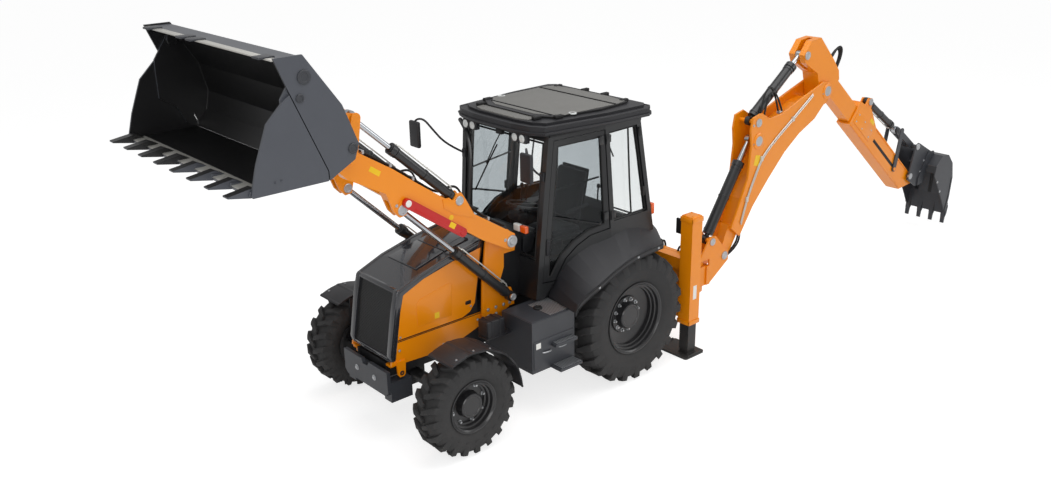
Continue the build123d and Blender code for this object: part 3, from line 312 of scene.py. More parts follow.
class Coat(Enum):
    """The machine's finishes, by what each one really is; some also carry painted light and shade,
    as noted at each.
    """

    ORANGE = Finish("sprayed_orange_paint", "orange_paint", "f29100", "ec8700", 0.34, coat=0.3,
                    grain_mm=5.0, grain_depth=0.03)
    # The bucket's near-black inside is painted shade over its charcoal paint
    BUCKET = Finish("worn_bucket_steel_painted_inside_shade", "dark_paint", "4d5057", "45484f", 0.4, mottle_mm=250.0,
                    grain_mm=3.0, grain_depth=0.05, coat=0.2, coat_roughness=0.3, inside="0e0e10")
    MIRROR = Finish("silvered_mirror_glass", "mirror_black", "d8dcde", "cdd2d5", 0.04, metallic=1.0,
                    rough_spread=0.01, grain_mm=20.0, grain_depth=0.002)
    GRAPHITE = Finish(
        "graphite_powder_coat", "dark_paint", "393b40", "323439", 0.42, mottle_mm=250.0,
        grain_mm=3.0, grain_depth=0.05, coat=0.15, coat_roughness=0.3)
    CHASSIS = Finish("black_chassis_paint", "dark_paint", "1d1e20", "18191a", 0.45, dust_share=0.15,
                     grain_mm=4.0, grain_depth=0.05)
    BLACK_GLOSS = Finish("black_gloss_enamel", "black_gloss", "2b2c31", "26272b", 0.16, coat=0.9,
                         grain_mm=8.0, grain_depth=0.01)
    CHROME = Finish("hard_chrome_plate", "chrome_rod", "c9ccd0", "b9bdc2", 0.14, metallic=1.0,
                    grain_mm=1.5, grain_depth=0.005)
    CYLINDER = Finish("black_cylinder_paint", "cylinder_dark", "1e1f21", "19191b", 0.33, coat=0.3,
                      grain_mm=5.0)
    TYRE = Finish("natural_tyre_rubber", "tyre", "2a2a2b", "222223", 0.72, mottle_mm=160.0,
                  grain_mm=2.5, grain_depth=0.12, dust_share=0.12, dust_top=1.2)
    RIM = Finish("grey_wheel_enamel", "black_gloss", "222224", "1d1d1f", 0.34, coat=0.3,
                 dust_share=0.08)
    MOULDED = Finish("moulded_polyethylene", "plastic", "26262a", "202023", 0.46, mottle_mm=300.0,
                     grain_mm=1.8, grain_depth=0.08)
    # Painted light: the brim's dark moulding made lighter for the roof's top, where light from
    # above falls
    ROOF = Finish("ribbed_roof_moulding_painted_light", "plastic", "73726f", "686764", 0.52, mottle_mm=350.0,
                  grain_mm=2.0, grain_depth=0.08)
    CAB_STEEL = Finish("cab_post_paint", "dark_paint", "1c1d1f", "17181a", 0.34, coat=0.25,
                       grain_mm=4.0)
    # Rubber for seals, hoses and seams; the same near-black also paints the shade in the hood's
    # latch slots and the slide's grooves
    RUBBER_AND_PAINTED_SHADE = Finish("extruded_rubber_and_painted_shade", "plastic", "131314", "0f0f10", 0.62, grain_mm=2.0,
                    grain_depth=0.05)
    RED = Finish("red_safety_enamel", "red_paint", "c50a05", "b80804", 0.34, coat=0.25)
    STEEL = Finish("machined_steel", "chrome_rod", "c6c8ca", "b2b4b7", 0.36, metallic=0.75,
                   grain_mm=1.2)
    # Zinc plating on the oil lines; the same pale finish also paints highlights on the buckets' lit
    # edges
    ZINC_AND_PAINTED_HIGHLIGHT = Finish("zinc_plated_line_and_painted_highlight", "chrome_rod", "dcdad4", "cbc9c2", 0.34, metallic=0.6,
                  grain_mm=1.5)
    IRON = Finish("cast_iron", "iron", "4b4b4c", "3c3c3d", 0.6, grain_mm=2.5, grain_depth=0.15)
    LENS = Finish("clear_lamp_lens", "lamp", "dfe2e0", "cfd3d2", 0.1, coat=1.0, grain_mm=12.0)
    AMBER = Finish("amber_lamp_lens", "lamp", "f0641c", "e2560f", 0.15, coat=1.0, grain_mm=12.0)
    YELLOW = Finish("blank_yellow_film", "lamp", "f2c60a", "eabb05", 0.35, grain_mm=10.0)
    WHITE = Finish("blank_white_film", "lamp", "ecebe6", "e2e1dc", 0.38, grain_mm=10.0)
    SEAT = Finish("woven_seat_cloth", "fabric", "2a2b2f", "222327", 0.85, mottle_mm=60.0,
                  grain_mm=2.5, grain_depth=0.3, sheen=0.3)
    GLASS = Glazing("tinted_float_glass", "glass", "f7f8f8")
    DOOR_GLASS = Glazing("dark_door_glass", "glass", "d3d7d9")


@dataclass
class Wardrobe:
    """Keeps one material for each finish and puts it on pieces."""

    made: dict[Coat, bpy.types.Material] = field(default_factory=dict)

    def material(self, coat: Coat) -> bpy.types.Material:
        """Give the material of a finish, made once."""
        if coat not in self.made:
            self.made[coat] = coat.value.build()
        return self.made[coat]

    def dress(self, piece: Piece, coat: Coat) -> None:
        """Put one finish all over a piece."""
        if not piece.material_slots:
            piece.data.materials.append(self.material(coat))
        for slot in piece.material_slots:
            slot.material = self.material(coat)


# Finish: the CAD nodes that wear it
NODE_COATS: dict[Coat, tuple[str, ...]] = {
    Coat.CHASSIS: ("main_frame", "front_axle", "rear_axle", "stabiliser_left", "stabiliser_right"),
    Coat.IRON: ("engine_block",),
    Coat.GRAPHITE: ("front_bumper", "side_boxes", "coupler", "hoe_bucket", "guide_links",
                    "bucket_link"),
    Coat.ORANGE: ("loader_towers", "rear_frame", "hood_panels", "loader_arms", "tilt_levers",
                  "tilt_links", "carriage", "swing_post", "boom", "dipper", "dipper_slide"),
    Coat.CAB_STEEL: ("cab_frame", "door_left", "door_right"),
    Coat.MOULDED: ("cab_roof", "rear_fenders", "controls", "mirrors", "knuckle_left",
                   "knuckle_right"),
    Coat.GLASS: ("cab_glass",),
    Coat.SEAT: ("seat",),
    Coat.LENS: ("lamps",),
    Coat.BLACK_GLOSS: ("hood_top",),
    Coat.DOOR_GLASS: ("door_left_glass", "door_right_glass"),
    Coat.RIM: ("front_rim_left", "front_rim_right", "rear_rim_left", "rear_rim_right"),
    Coat.TYRE: ("front_tyre_left", "front_tyre_right", "rear_tyre_left", "rear_tyre_right"),
    Coat.RED: ("safety_strut",),
    Coat.BUCKET: ("loader_bucket", "bucket_jaw"),
    Coat.CYLINDER: ("lift_barrels", "tilt_barrels", "boom_barrel", "dipper_barrel",
                    "bucket_barrel"),
    Coat.CHROME: ("lift_rods", "tilt_rods", "boom_rod", "dipper_rod", "bucket_rod"),
}


@dataclass
class Assembly:
    """Base of each sub-assembly: makes pieces with Blender's own tools and fits them."""

    wardrobe: Wardrobe

    def build(self) -> None:
        """Build all pieces of the sub-assembly."""
        raise NotImplementedError

    @staticmethod
    def pick(*pieces: Piece) -> None:
        """Select these pieces alone, the first one active."""
        bpy.ops.object.select_all(action="DESELECT")
        for piece in pieces:
            piece.select_set(True)
        if pieces:
            bpy.context.view_layer.objects.active = pieces[0]

    @staticmethod
    def close_edit() -> None:
        """Turn all faces outwards and leave edit mode."""
        bpy.ops.mesh.select_all(action="SELECT")
        bpy.ops.mesh.normals_make_consistent(inside=False)
        bpy.ops.object.mode_set(mode="OBJECT")

    def soften(self, piece: Piece, width: float, segments: int = 2) -> None:
        """Round a piece's sharp edges.

        Args:
            piece: Piece to change.
            width: Width of the rounding, none at zero.
            segments: Steps in the rounding.
        """
        if width <= 0:
            return
        self.pick(piece)
        bevel = piece.modifiers.new("edge", "BEVEL")
        bevel.width, bevel.segments = width, segments
        bevel.limit_method, bevel.angle_limit = "ANGLE", EDGE_ANGLE
        bpy.ops.object.modifier_apply(modifier=bevel.name)

    def outline(self, points: list[Point], filled: bool = True) -> Piece:
        """Draw a closed outline as one face or as a bare ring.

        Args:
            points: Corners in order.
            filled: Whether the outline gets a face.

        Returns:
            The new piece, in object mode.
        """
        self.pick()
        bpy.ops.mesh.primitive_circle_add(
            vertices=len(points), location=(0, 0, 0), fill_type="NGON" if filled else "NOTHING")
        piece = bpy.context.object
        for vertex, point in zip(piece.data.vertices, points):
            vertex.co = point
        return piece

    def plate(self, points: list[Point], push: Point, soft: float = 0.0,
              segments: int = 2) -> Piece:
        """Push an outline out into a plate with rounded edges.

        Args:
            points: Corners in order.
            push: Way and depth of the push.
            soft: Rounding of the edges.
            segments: Steps in the rounding.

        Returns:
            The new piece.
        """
        piece = self.outline(points)
        bpy.ops.object.mode_set(mode="EDIT")
        bpy.ops.mesh.select_all(action="SELECT")
        bpy.ops.mesh.extrude_region_move(TRANSFORM_OT_translate={"value": push})
        self.close_edit()
        self.soften(piece, soft, segments)
        return piece

    def side(self, points: list[Flat], y_from: float, y_to: float, soft: float = 0.0,
             segments: int = 2) -> Piece:
        """Push a side view outline, given from above the rear axle, across the machine.

        Args:
            points: Corners as X and Z.
            y_from: First side.
            y_to: Other side.
            soft: Rounding of the edges.
            segments: Steps in the rounding.

        Returns:
            The new piece.
        """
        return self.plate([at(x, y_from, z) for x, z in points], (0, y_to - y_from, 0), soft,
                          segments)

    def block(self, low: Point, high: Point, soft: float = 0.004, segments: int = 2) -> Piece:
        """Make a rounded block between two corners given from above the rear axle.

        Args:
            low: Lowest corner.
            high: Highest corner.
            soft: Rounding of the edges.
            segments: Steps in the rounding.

        Returns:
            The new piece.
        """
        middle = at(*((a + b) / 2 for a, b in zip(low, high)))
        self.pick()
        bpy.ops.mesh.primitive_cube_add(
            size=1.0, location=middle, scale=[b - a for a, b in zip(low, high)])
        bpy.ops.object.transform_apply(location=True, rotation=True, scale=True)
        piece = bpy.context.object
        self.soften(piece, soft, segments)
        return piece

    def turned(self, profile: list[Flat], centre: Point, axis: Point, steps: int = 40) -> Piece:
        """Spin a closed profile round an axis.

        Args:
            profile: Corners as radius and place along the axis.
            centre: Point on the axis that the places are measured from.
            axis: Way of the axis.
            steps: Facets round the axis.

        Returns:
            The new piece.
        """
        along = Vector(axis).normalized()
        out = along.orthogonal().normalized()
        middle = Vector(centre)
        piece = self.outline([tuple(middle + out * r + along * h) for r, h in profile], False)
        bpy.ops.object.mode_set(mode="EDIT")
        bpy.ops.mesh.select_all(action="SELECT")
        bpy.ops.mesh.spin(steps=steps, angle=2 * math.pi, center=middle, axis=along)
        bpy.ops.mesh.select_all(action="SELECT")
        bpy.ops.mesh.remove_doubles(threshold=0.0002)
        self.close_edit()
        return piece

    def cap(self, centre: Point, axis: Point, radius: float, height: float,
            steps: int = 28) -> Piece:
        """Turn a low round boss with a rounded rim and a recessed face.

        Args:
            centre: Middle of its foot.
            axis: Way that it stands.
            radius: Outer radius.
            height: Height over the foot.
            steps: Facets round it.

        Returns:
            The new piece.
        """
        soft = min(height * 0.3, radius * 0.12)
        return self.turned(
            [(0, -0.002), (radius, -0.002), (radius, height - soft), (radius - soft, height),
             (radius * 0.62, height), (radius * 0.56, height - soft), (0, height - soft)], centre,
            axis, steps)

    def bolt(self, radius: float, height: float) -> Piece:
        """Turn a bolt head on its washer at the origin, standing along Z.

        Args:
            radius: Radius of the head.
            height: Height of the head.

        Returns:
            The bolt.
        """
        head = self.turned([(0, 0), (radius, 0), (radius, height * 0.75), (radius * 0.8, height),
                            (0, height)], (0, 0, 0), UP, 6)
        washer = self.turned([(0, -0.002), (radius * 1.45, -0.002), (radius * 1.45, height * 0.18),
                              (0, height * 0.22)], (0, 0, 0), UP, 20)
        return self.join([head, washer])

    def tube(self, points: list[Point], radius: float, smooth: bool = True,
             closed: bool = False) -> Piece:
        """Bend a round tube through points given from above the rear axle.

        Args:
            points: Points of its route.
            radius: Outer radius.
            smooth: Whether the route is one smooth curve, or straight runs.
            closed: Whether its ends meet.

        Returns:
            The new piece, as a mesh.
        """
        self.pick()
        bpy.ops.curve.primitive_nurbs_path_add(location=(0, 0, 0))
        piece = bpy.context.object
        curve = piece.data
        curve.splines.clear()
        spline = curve.splines.new("NURBS" if smooth else "POLY")
        spline.points.add(len(points) - 1)
        for knot, point in zip(spline.points, points):
            knot.co = (*at(*point), 1.0)
        if smooth:
            spline.order_u = 3
            spline.use_endpoint_u = not closed
        spline.use_cyclic_u = closed
        spline.resolution_u = 5
        curve.dimensions = "3D"
        curve.bevel_depth, curve.bevel_resolution = radius, 2
        curve.use_fill_caps = not closed
        bpy.ops.object.convert(target="MESH")
        return bpy.context.object

    def join(self, pieces: list[Piece]) -> Piece:
        """Join pieces into the first one."""
        if len(pieces) > 1:
            self.pick(*pieces)
            bpy.ops.object.join()
        return pieces[0]

    def repeat(self, master: Piece, moves: list[Matrix]) -> Piece:
        """Copy a piece to each place, each copy with its own mesh, and join the copies.

        Args:
            master: Piece made once, which goes when it has been copied.
            moves: A placing for each copy.

        Returns:
            The joined copies.
        """
        copies = []
        for move in moves:
            copy = bpy.data.objects.new(master.name, master.data.copy())
            bpy.context.collection.objects.link(copy)
            copy.data.transform(move)
            if move.determinant() < 0:
                copy.data.flip_normals()
            copies.append(copy)
        bpy.data.objects.remove(master)
        return self.join(copies)

    def bolts(self, places: list[Point], way: Point, radius: float = 0.012,
              height: float = 0.009) -> Piece:
        """Put a bolt at each place given from above the rear axle, all facing one way."""
        turn = Vector(UP).rotation_difference(Vector(way)).to_matrix().to_4x4()
        return self.repeat(self.bolt(radius, height),
                           [Matrix.Translation(Vector(at(*place))) @ turn for place in places])

    def mirrored(self, piece: Piece) -> Piece:
        """Copy a piece to the machine's other side and join the two."""
        return self.repeat(piece, [Matrix.Identity(4), flip(-1)])

    def fit(self, piece: Piece, name: str, coat: Coat, body: str, *nodes: str) -> Piece:
        """Smooth, name and dress a piece, and let it ride on its body.

        Args:
            piece: Finished piece.
            name: Its name.
            coat: Its finish.
            body: Body that carries it.
            nodes: Solids that it stands for, if any.

        Returns:
            The same piece.
        """
        piece.name = piece.data.name = name
        self.pick(piece)
        bpy.ops.object.shade_smooth_by_angle(angle=SMOOTH_ANGLE)
        self.wardrobe.dress(piece, coat)
        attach(piece, body)
        if nodes:
            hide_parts(*nodes)
        LOG.info("%s on %s: %d faces", name, body, len(piece.data.polygons))
        return piece


@dataclass
class Wheel(Assembly):
    """One pair of wheels: lugged tyres, stepped rims, nuts and valves."""

    end: str
    axle: Flat
    y: float
    radius: float
    width: float
    flange_r: float
    lug: float
    lug_count: int
    bolt_r: float
    bolt_count: int
    hub_r: float
    disc_y: float
    hub_y: float
    bolt_size: float = 0.014

    def build(self) -> None:
        """Build both wheels of the pair."""
        for side, sign in SIDES:
            body = f"{self.end}_wheel_{side}"
            centre = at(self.axle[0], sign * self.y, self.axle[1])
            self.fit(self.tyre(centre, sign), f"{self.end}_tyre_{side}_lugged", Coat.TYRE, body,
                     f"{self.end}_tyre_{side}")
            self.fit(self.rim(centre, sign), f"{self.end}_rim_{side}_stepped", Coat.RIM, body,
                     f"{self.end}_rim_{side}")
            self.fit(self.studs(centre, sign), f"{self.end}_studs_{side}", Coat.STEEL, body)
            stem = self.turned(
                [(0, 0), (0.008, 0), (0.008, 0.03), (0.005, 0.045), (0, 0.045)],
                (centre[0] + self.flange_r - 0.035, centre[1] + sign * (self.disc_y + 0.03),
                 centre[2]), (0, sign, 0), 12)
            self.fit(stem, f"{self.end}_valve_{side}", Coat.RUBBER_AND_PAINTED_SHADE, body)

    def carcass_r(self, h: float) -> float:
        """Radius of the carcass at a distance from the wheel's middle plane."""
        share = abs(h) / (self.width / 2)
        crown = self.radius - self.lug
        return crown - 0.012 * share ** 2 if share < 0.8 else crown - 0.008 - 0.3 * (share - 0.8)

    def tyre(self, centre: Point, sign: int) -> Piece:
        """Turn the carcass and set its two rows of lugs.

        Args:
            centre: Middle of the wheel.
            sign: 1 on the left, -1 on the right.

        Returns:
            The tyre.
        """
        half, crown, bead = self.width / 2, self.radius - self.lug, self.flange_r - 0.012
        wall = crown - bead
        flank = [(bead, 0.72), (bead + 0.012, 0.8), (bead + 0.026, 0.82), (bead + 0.034, 0.86),
                 (bead + wall * 0.3, 0.955), (bead + wall * 0.5, 0.985), (bead + wall * 0.56, 1.0),
                 (bead + wall * 0.62, 0.985), (crown - 0.055, 0.955), (crown - 0.022, 0.87),
                 (crown - 0.006, 0.7), (crown, 0.35)]
        profile = [(r, share * half) for r, share in flank]
        profile += [(r, -h) for r, h in reversed(profile)]
        carcass = self.turned(profile, centre, LEFT, 96)
        lug = self.lug_piece()
        pitch = 2 * math.pi / self.lug_count
        moves = []
        for k in range(self.lug_count):
            for turned, shift in ((1, 0.0), (-1, 0.5)):
                turn = Matrix.Rotation((k + shift) * pitch, 4, "Y")
                moves.append(Matrix.Translation(Vector(centre)) @ turn @ flip(turned * sign))
        return self.join([carcass, self.repeat(lug, moves)])

    def lug_piece(self) -> Piece:
        """Shape one lug at the top of a wheel that stands at the origin."""
        half = self.width / 2
        length = 2 * math.pi * self.radius / self.lug_count
        wide = length * 0.4
        # place along the tread, share of the half width, share of the lug's width
        spine = [(length * 0.62, -0.06, 0.75), (length * 0.44, 0.3, 0.95),
                 (length * 0.2, 0.62, 1.0), (length * 0.08, 0.9, 1.12),
                 (length * 0.05, 0.995, 1.05)]
        front = [(s + wide / 2 * w, h) for s, h, w in spine]
        back = [(s - wide / 2 * w, h) for s, h, w in reversed(spine)]
        ring = front + back
        middle = sum(s for s, _ in ring) / len(ring)
        piece = self.outline([(0, 0, 0)] * len(ring))
        bpy.ops.object.mode_set(mode="EDIT")
        bpy.ops.mesh.select_all(action="SELECT")
        bpy.ops.mesh.extrude_region_move(TRANSFORM_OT_translate={"value": (0, 0, 0.01)})
        bpy.ops.object.mode_set(mode="OBJECT")
        count = len(ring)
        for number, vertex in enumerate(piece.data.vertices):
            s, share = ring[number % count]
            if number < count:
                low = self.carcass_r(share * half) - (0.06 if share > 0.85 else 0.014)
                vertex.co = self.on_tread(s, share * half, low)
            else:
                s = middle + (s - middle) * 0.9
                drop = 0.0 if share < 0.7 else 0.01 + 0.05 * (share - 0.7)
                vertex.co = self.on_tread(s, min(share, 0.955) * half, self.radius - drop)
        self.pick(piece)
        bpy.ops.object.mode_set(mode="EDIT")
        self.close_edit()
        self.soften(piece, 0.006, 2)
        return piece

    @staticmethod
    def on_tread(along: float, h: float, r: float) -> Point:
        """Wrap a place on the flat tread round the wheel."""
        angle = along / r
        return r * math.sin(angle), h, r * math.cos(angle)

    def rim(self, centre: Point, sign: int) -> Piece:
        """Turn the rim with its steps, disc and hub.

        Args:
            centre: Middle of the wheel.
            sign: 1 on the left, -1 on the right.

        Returns:
            The rim.
        """
        f, edge, disc = self.flange_r, self.width * 0.43, self.disc_y
        profile = [
            (f - 0.016, -edge), (f, -edge), (f, -edge + 0.012), (f - 0.022, -edge + 0.02),
            (f - 0.022, edge - 0.02), (f, edge - 0.012), (f, edge), (f - 0.01, edge),
            (f - 0.02, edge - 0.012), (f - 0.03, edge - 0.018), (f - 0.036, edge - 0.05),
            (f - 0.052, edge - 0.056), (f - 0.056, edge - 0.088), (f - 0.07, edge - 0.094),
            (f - 0.074, disc + 0.012), (self.bolt_r + 0.035, disc - 0.014),
            (self.bolt_r + 0.028, disc), (self.hub_r + 0.012, disc),
            (self.hub_r + 0.006, disc + 0.02), (self.hub_r, self.hub_y - 0.008),
            (self.hub_r - 0.008, self.hub_y), (self.hub_r * 0.78, self.hub_y),
            (self.hub_r * 0.75, self.hub_y - 0.004), (0, self.hub_y - 0.004), (0, disc - 0.03),
            (self.hub_r, disc - 0.03), (f - 0.09, disc - 0.026), (f - 0.04, -edge)]
        return self.turned([(r, sign * h) for r, h in profile], centre, LEFT, 72)

    def studs(self, centre: Point, sign: int) -> Piece:
        """Set the wheel nuts round the hub.

        Args:
            centre: Middle of the wheel.
            sign: 1 on the left, -1 on the right.

        Returns:
            The nuts, joined.
        """
        stud = self.bolt(self.bolt_size, self.bolt_size * 1.9)
        lay = Matrix.Rotation(-sign * math.pi / 2, 4, "X")
        moves = []
        for k in range(self.bolt_count):
            turn = Matrix.Rotation(2 * math.pi * (k + 0.3) / self.bolt_count, 4, "Y")
            out = Matrix.Translation((0, sign * self.disc_y, self.bolt_r))
            moves.append(Matrix.Translation(Vector(centre)) @ turn @ out @ lay)
        return self.repeat(stud, moves)


@dataclass
class Hood(Assembly):
    """The tilting hood: black bands, a framed grille, latches with painted shade in their slots and
    the seams round its panels.
    """

    half_y: float = 0.345
    top_line: tuple[Flat, ...] = ((1.432, 1.756), (1.8, 1.692), (2.15, 1.604), (2.432, 1.492))
    band: float = 0.06
    slat_count: int = 44
    slat_z: tuple[float, float] = (0.845, 1.456)
    post_y: tuple[float, float] = (0.283, 0.349)

    def build(self) -> None:
        """Build the hood's own pieces."""
        band = list(self.top_line) + [
            (2.475, 1.3), (2.552, 0.812), (2.512, 0.812), (2.428, 1.285), (2.385, 1.445)]
        band += [(x, z - self.band * (0.95 + 0.25 * (2.4 - x)))
                 for x, z in reversed(self.top_line[:3])]
        self.fit(self.mirrored(self.side(band, self.half_y - 0.003, self.half_y + 0.006, 0.003)),
                 "hood_band", Coat.BLACK_GLOSS, "hood")
        edge = self.side(
            [(x, z + 0.005) for x, z in self.top_line]
            + [(x, z - 0.022) for x, z in reversed(self.top_line)], 0.318, 0.3515, 0.006, 3)
        self.fit(self.mirrored(edge), "hood_shoulders", Coat.BLACK_GLOSS, "hood")
        self.fit(self.frame(), "grille_frame", Coat.BLACK_GLOSS, "hood")
        self.fit(self.slats(), "grille_slats", Coat.RUBBER_AND_PAINTED_SHADE, "hood")
        # left corners at the rear and at the front of each black sheet
        sheets = (((1.5, 0.215, 1.741), (1.8, 0.22, 1.689)),
                  ((1.81, 0.22, 1.687), (2.15, 0.235, 1.601)))
        crown = [self.plate([at(x0, y0, z0), at(x1, y1, z1), at(x1, -y1, z1), at(x0, -y0, z0)],
                            (0, 0, 0.012), 0.005, 3)
                 for (x0, y0, z0), (x1, y1, z1) in sheets]
        self.fit(self.join(crown), "hood_crown", Coat.BLACK_GLOSS, "hood")
        # Painted shade: the latches' near-black plates stand for their recessed slots
        self.fit(self.latches(), "hood_latch_slots_painted_shade", Coat.RUBBER_AND_PAINTED_SHADE, "hood")
        seam = [(2.518, 1.004), (1.7, 1.004), (1.606, 1.037), (1.541, 1.118), (1.501, 1.34),
                (1.436, 1.75), (1.444, 1.75), (1.509, 1.342), (1.549, 1.122), (1.612, 1.045),
                (1.703, 1.011), (2.518, 1.011)]
        self.fit(self.mirrored(self.side(seam, 0.34, 0.3462)), "hood_seams", Coat.RUBBER_AND_PAINTED_SHADE, "hood")
        fold = self.side([(2.24, 1.08), (2.245, 1.3), (2.2, 1.35), (1.86, 1.42), (1.82, 1.4),
                          (1.84, 1.075)], self.half_y - 0.002, self.half_y + 0.004, 0.0035, 3)
        self.fit(self.mirrored(fold), "hood_pressing", Coat.ORANGE, "hood")
        heads = self.bolts([(2.44, self.half_y, 1.03), (1.6, self.half_y, 1.1)], LEFT, 0.008)
        self.fit(self.mirrored(heads), "hood_bolts", Coat.STEEL, "hood")
        labels = self.mirrored(self.side([(2.04, 1.1), (1.985, 1.1), (1.985, 1.16), (2.04, 1.16)],
                                         self.half_y + 0.003, self.half_y + 0.0048, 0.0006, 1))
        self.fit(labels, "hood_labels", Coat.YELLOW, "hood")

    def frame(self) -> Piece:
        """Shape the rounded posts, head and foot round the grille."""
        post = [(2.53, 0.797), (2.56, 0.808), (2.574, 0.87), (2.5, 1.3), (2.458, 1.478),
                (2.44, 1.502), (2.405, 1.5), (2.452, 1.29)]
        low, high = self.post_y
        posts = self.mirrored(self.side(post, low, high, 0.014, 4))
        head = self.side([(2.432, 1.462), (2.454, 1.466), (2.448, 1.486), (2.434, 1.503),
                          (2.405, 1.5)], -low, low, 0.006, 3)
        foot = self.side([(2.532, 0.8), (2.556, 0.806), (2.562, 0.84), (2.545, 0.845)], -low, low,
                         0.004, 3)
        return self.join([posts, head, foot])

    def slats(self) -> Piece:
        """Stack the thin slats across the grille."""
        slat = self.side([(-0.004, -0.005), (0.007, -0.003), (0.007, 0.001), (-0.004, 0.005)],
                         -self.post_y[0], self.post_y[0])
        low, high = self.slat_z
        moves = []
        for k in range(self.slat_count):
            z = low + (high - low) * k / (self.slat_count - 1)
            # The grille leans back, and more above its bend
            x = 2.552 - (z - 0.8) * 0.164 if z < 1.3 else 2.47 - (z - 1.3) * 0.234
            moves.append(Matrix.Translation((x, 0, z)))
        return self.repeat(slat, moves)

    def latches(self) -> Piece:
        """Lay a slotted latch on each side panel, its near-black plate painted shade for the
        recessed slot.
        """
        plate = self.side([(1.6, 1.128), (1.662, 1.128), (1.668, 1.148), (1.662, 1.168),
                           (1.6, 1.168), (1.594, 1.148)], 0.343, 0.3475, 0.003, 2)
        key = self.turned([(0, 0), (0.009, 0), (0.009, 0.004), (0, 0.006)], at(1.617, 0.346, 1.148),
                          LEFT, 16)
        return self.mirrored(self.join([plate, key]))


@dataclass
class LoaderBucket(Assembly):
    """The four-in-one bucket: caps, tabs, ribs, tooth adapters and wear strips."""

    half_y: float = 1.15
    caps: tuple[tuple[float, float, float], ...] = (
        (3.649, 3.781, 0.055), (3.695, 3.632, 0.034), (3.283, 3.182, 0.042))
    tooth_count: int = 8

    def build(self) -> None:
        """Build the pieces on the bucket and on its jaw."""
        rounds = [self.cap(at(x, self.half_y, z), LEFT, r, 0.012) for x, z, r in self.caps]
        self.fit(self.mirrored(self.join(rounds)), "bucket_side_caps", Coat.GRAPHITE, "bucket")
        tabs = [self.block((3.8, y - 0.055, 3.926), (3.93, y + 0.055, 3.943), 0.004)
                for y in (-0.98, -0.32, -0.14, 0.98)]
        self.fit(self.join(tabs), "bucket_top_tabs", Coat.GRAPHITE, "bucket")
        rim = self.side([(3.645, 3.905), (3.885, 3.92), (3.885, 3.932), (3.642, 3.925)], -1.128,
                        1.128, 0.003)
        # Painted highlight: the pale finish on the bucket's top lip stands for light falling on its
        # painted edge
        self.fit(rim, "bucket_top_edge_painted_highlight", Coat.ZINC_AND_PAINTED_HIGHLIGHT, "bucket")
        ribs = [self.side(
            [(3.372, 3.305), (3.432, 3.552), (3.42, 3.575), (3.34, 3.5), (3.245, 3.21),
             (3.262, 3.13), (3.378, 3.14)], y - 0.008, y + 0.008, 0.003)
                for y in (-0.95, -0.32, 0.32, 0.95)]
        self.fit(self.join(ribs), "bucket_back_ribs", Coat.GRAPHITE, "bucket")
        weld = [(3.645, 3.926), (3.425, 3.56), (3.362, 3.3), (3.402, 3.13)]
        bead = self.tube([(x + 0.012, self.half_y - 0.022, z) for x, z in weld], 0.006, False)
        self.fit(self.mirrored(bead), "bucket_side_weld", Coat.BUCKET, "bucket")
        self.jaw()

    def jaw(self) -> None:
        """Build the jaw's cutting edge, tooth adapters, bolts, wear strips and hinge caps."""
        edge = self.side([(4.02, 2.9935), (4.15, 2.9935), (4.14, 2.999), (4.02, 3.0)], -1.1, 1.1,
                         0.001, 1)
        # Painted highlight: the pale strip along the jaw's cutting edge stands for light falling on
        # it
        self.fit(edge, "jaw_edge_strip_painted_highlight", Coat.ZINC_AND_PAINTED_HIGHLIGHT, "jaw")
        adapter = self.side([(4.05, 2.985), (4.165, 2.985), (4.15, 3.022), (4.075, 3.012)], -0.042,
                            0.042, 0.006)
        nose = self.side([(4.11, 2.999), (4.215, 2.985), (4.195, 3.001), (4.125, 3.028)], -0.026,
                         0.026, 0.004)
        pitch = 2 * (self.half_y - 0.06) / (self.tooth_count - 1)
        moves = [Matrix.Translation((0, (k - (self.tooth_count - 1) / 2) * pitch, 0))
                 for k in range(self.tooth_count)]
        self.fit(self.repeat(self.join([adapter, nose]), moves), "jaw_tooth_adapters", Coat.BUCKET,
                 "jaw")
        bolts = self.bolts([(3.905, self.half_y, 3.055), (3.955, self.half_y, 3.05)], LEFT, 0.007)
        self.fit(self.mirrored(bolts), "jaw_side_bolts", Coat.BUCKET, "jaw")
        foot = [self.block((3.56, y - 0.04, 2.96), (4.06, y + 0.04, 2.969), 0.002)
                for y in (-0.9, -0.3, 0.3, 0.9)]
        self.fit(self.join(foot), "jaw_wear_strips", Coat.BUCKET, "jaw")
        hinge = self.cap(at(3.661, self.half_y - 0.042, 3.798), RIGHT, 0.052, 0.02)
        self.fit(self.mirrored(hinge), "jaw_hinge_caps", Coat.BUCKET, "jaw")


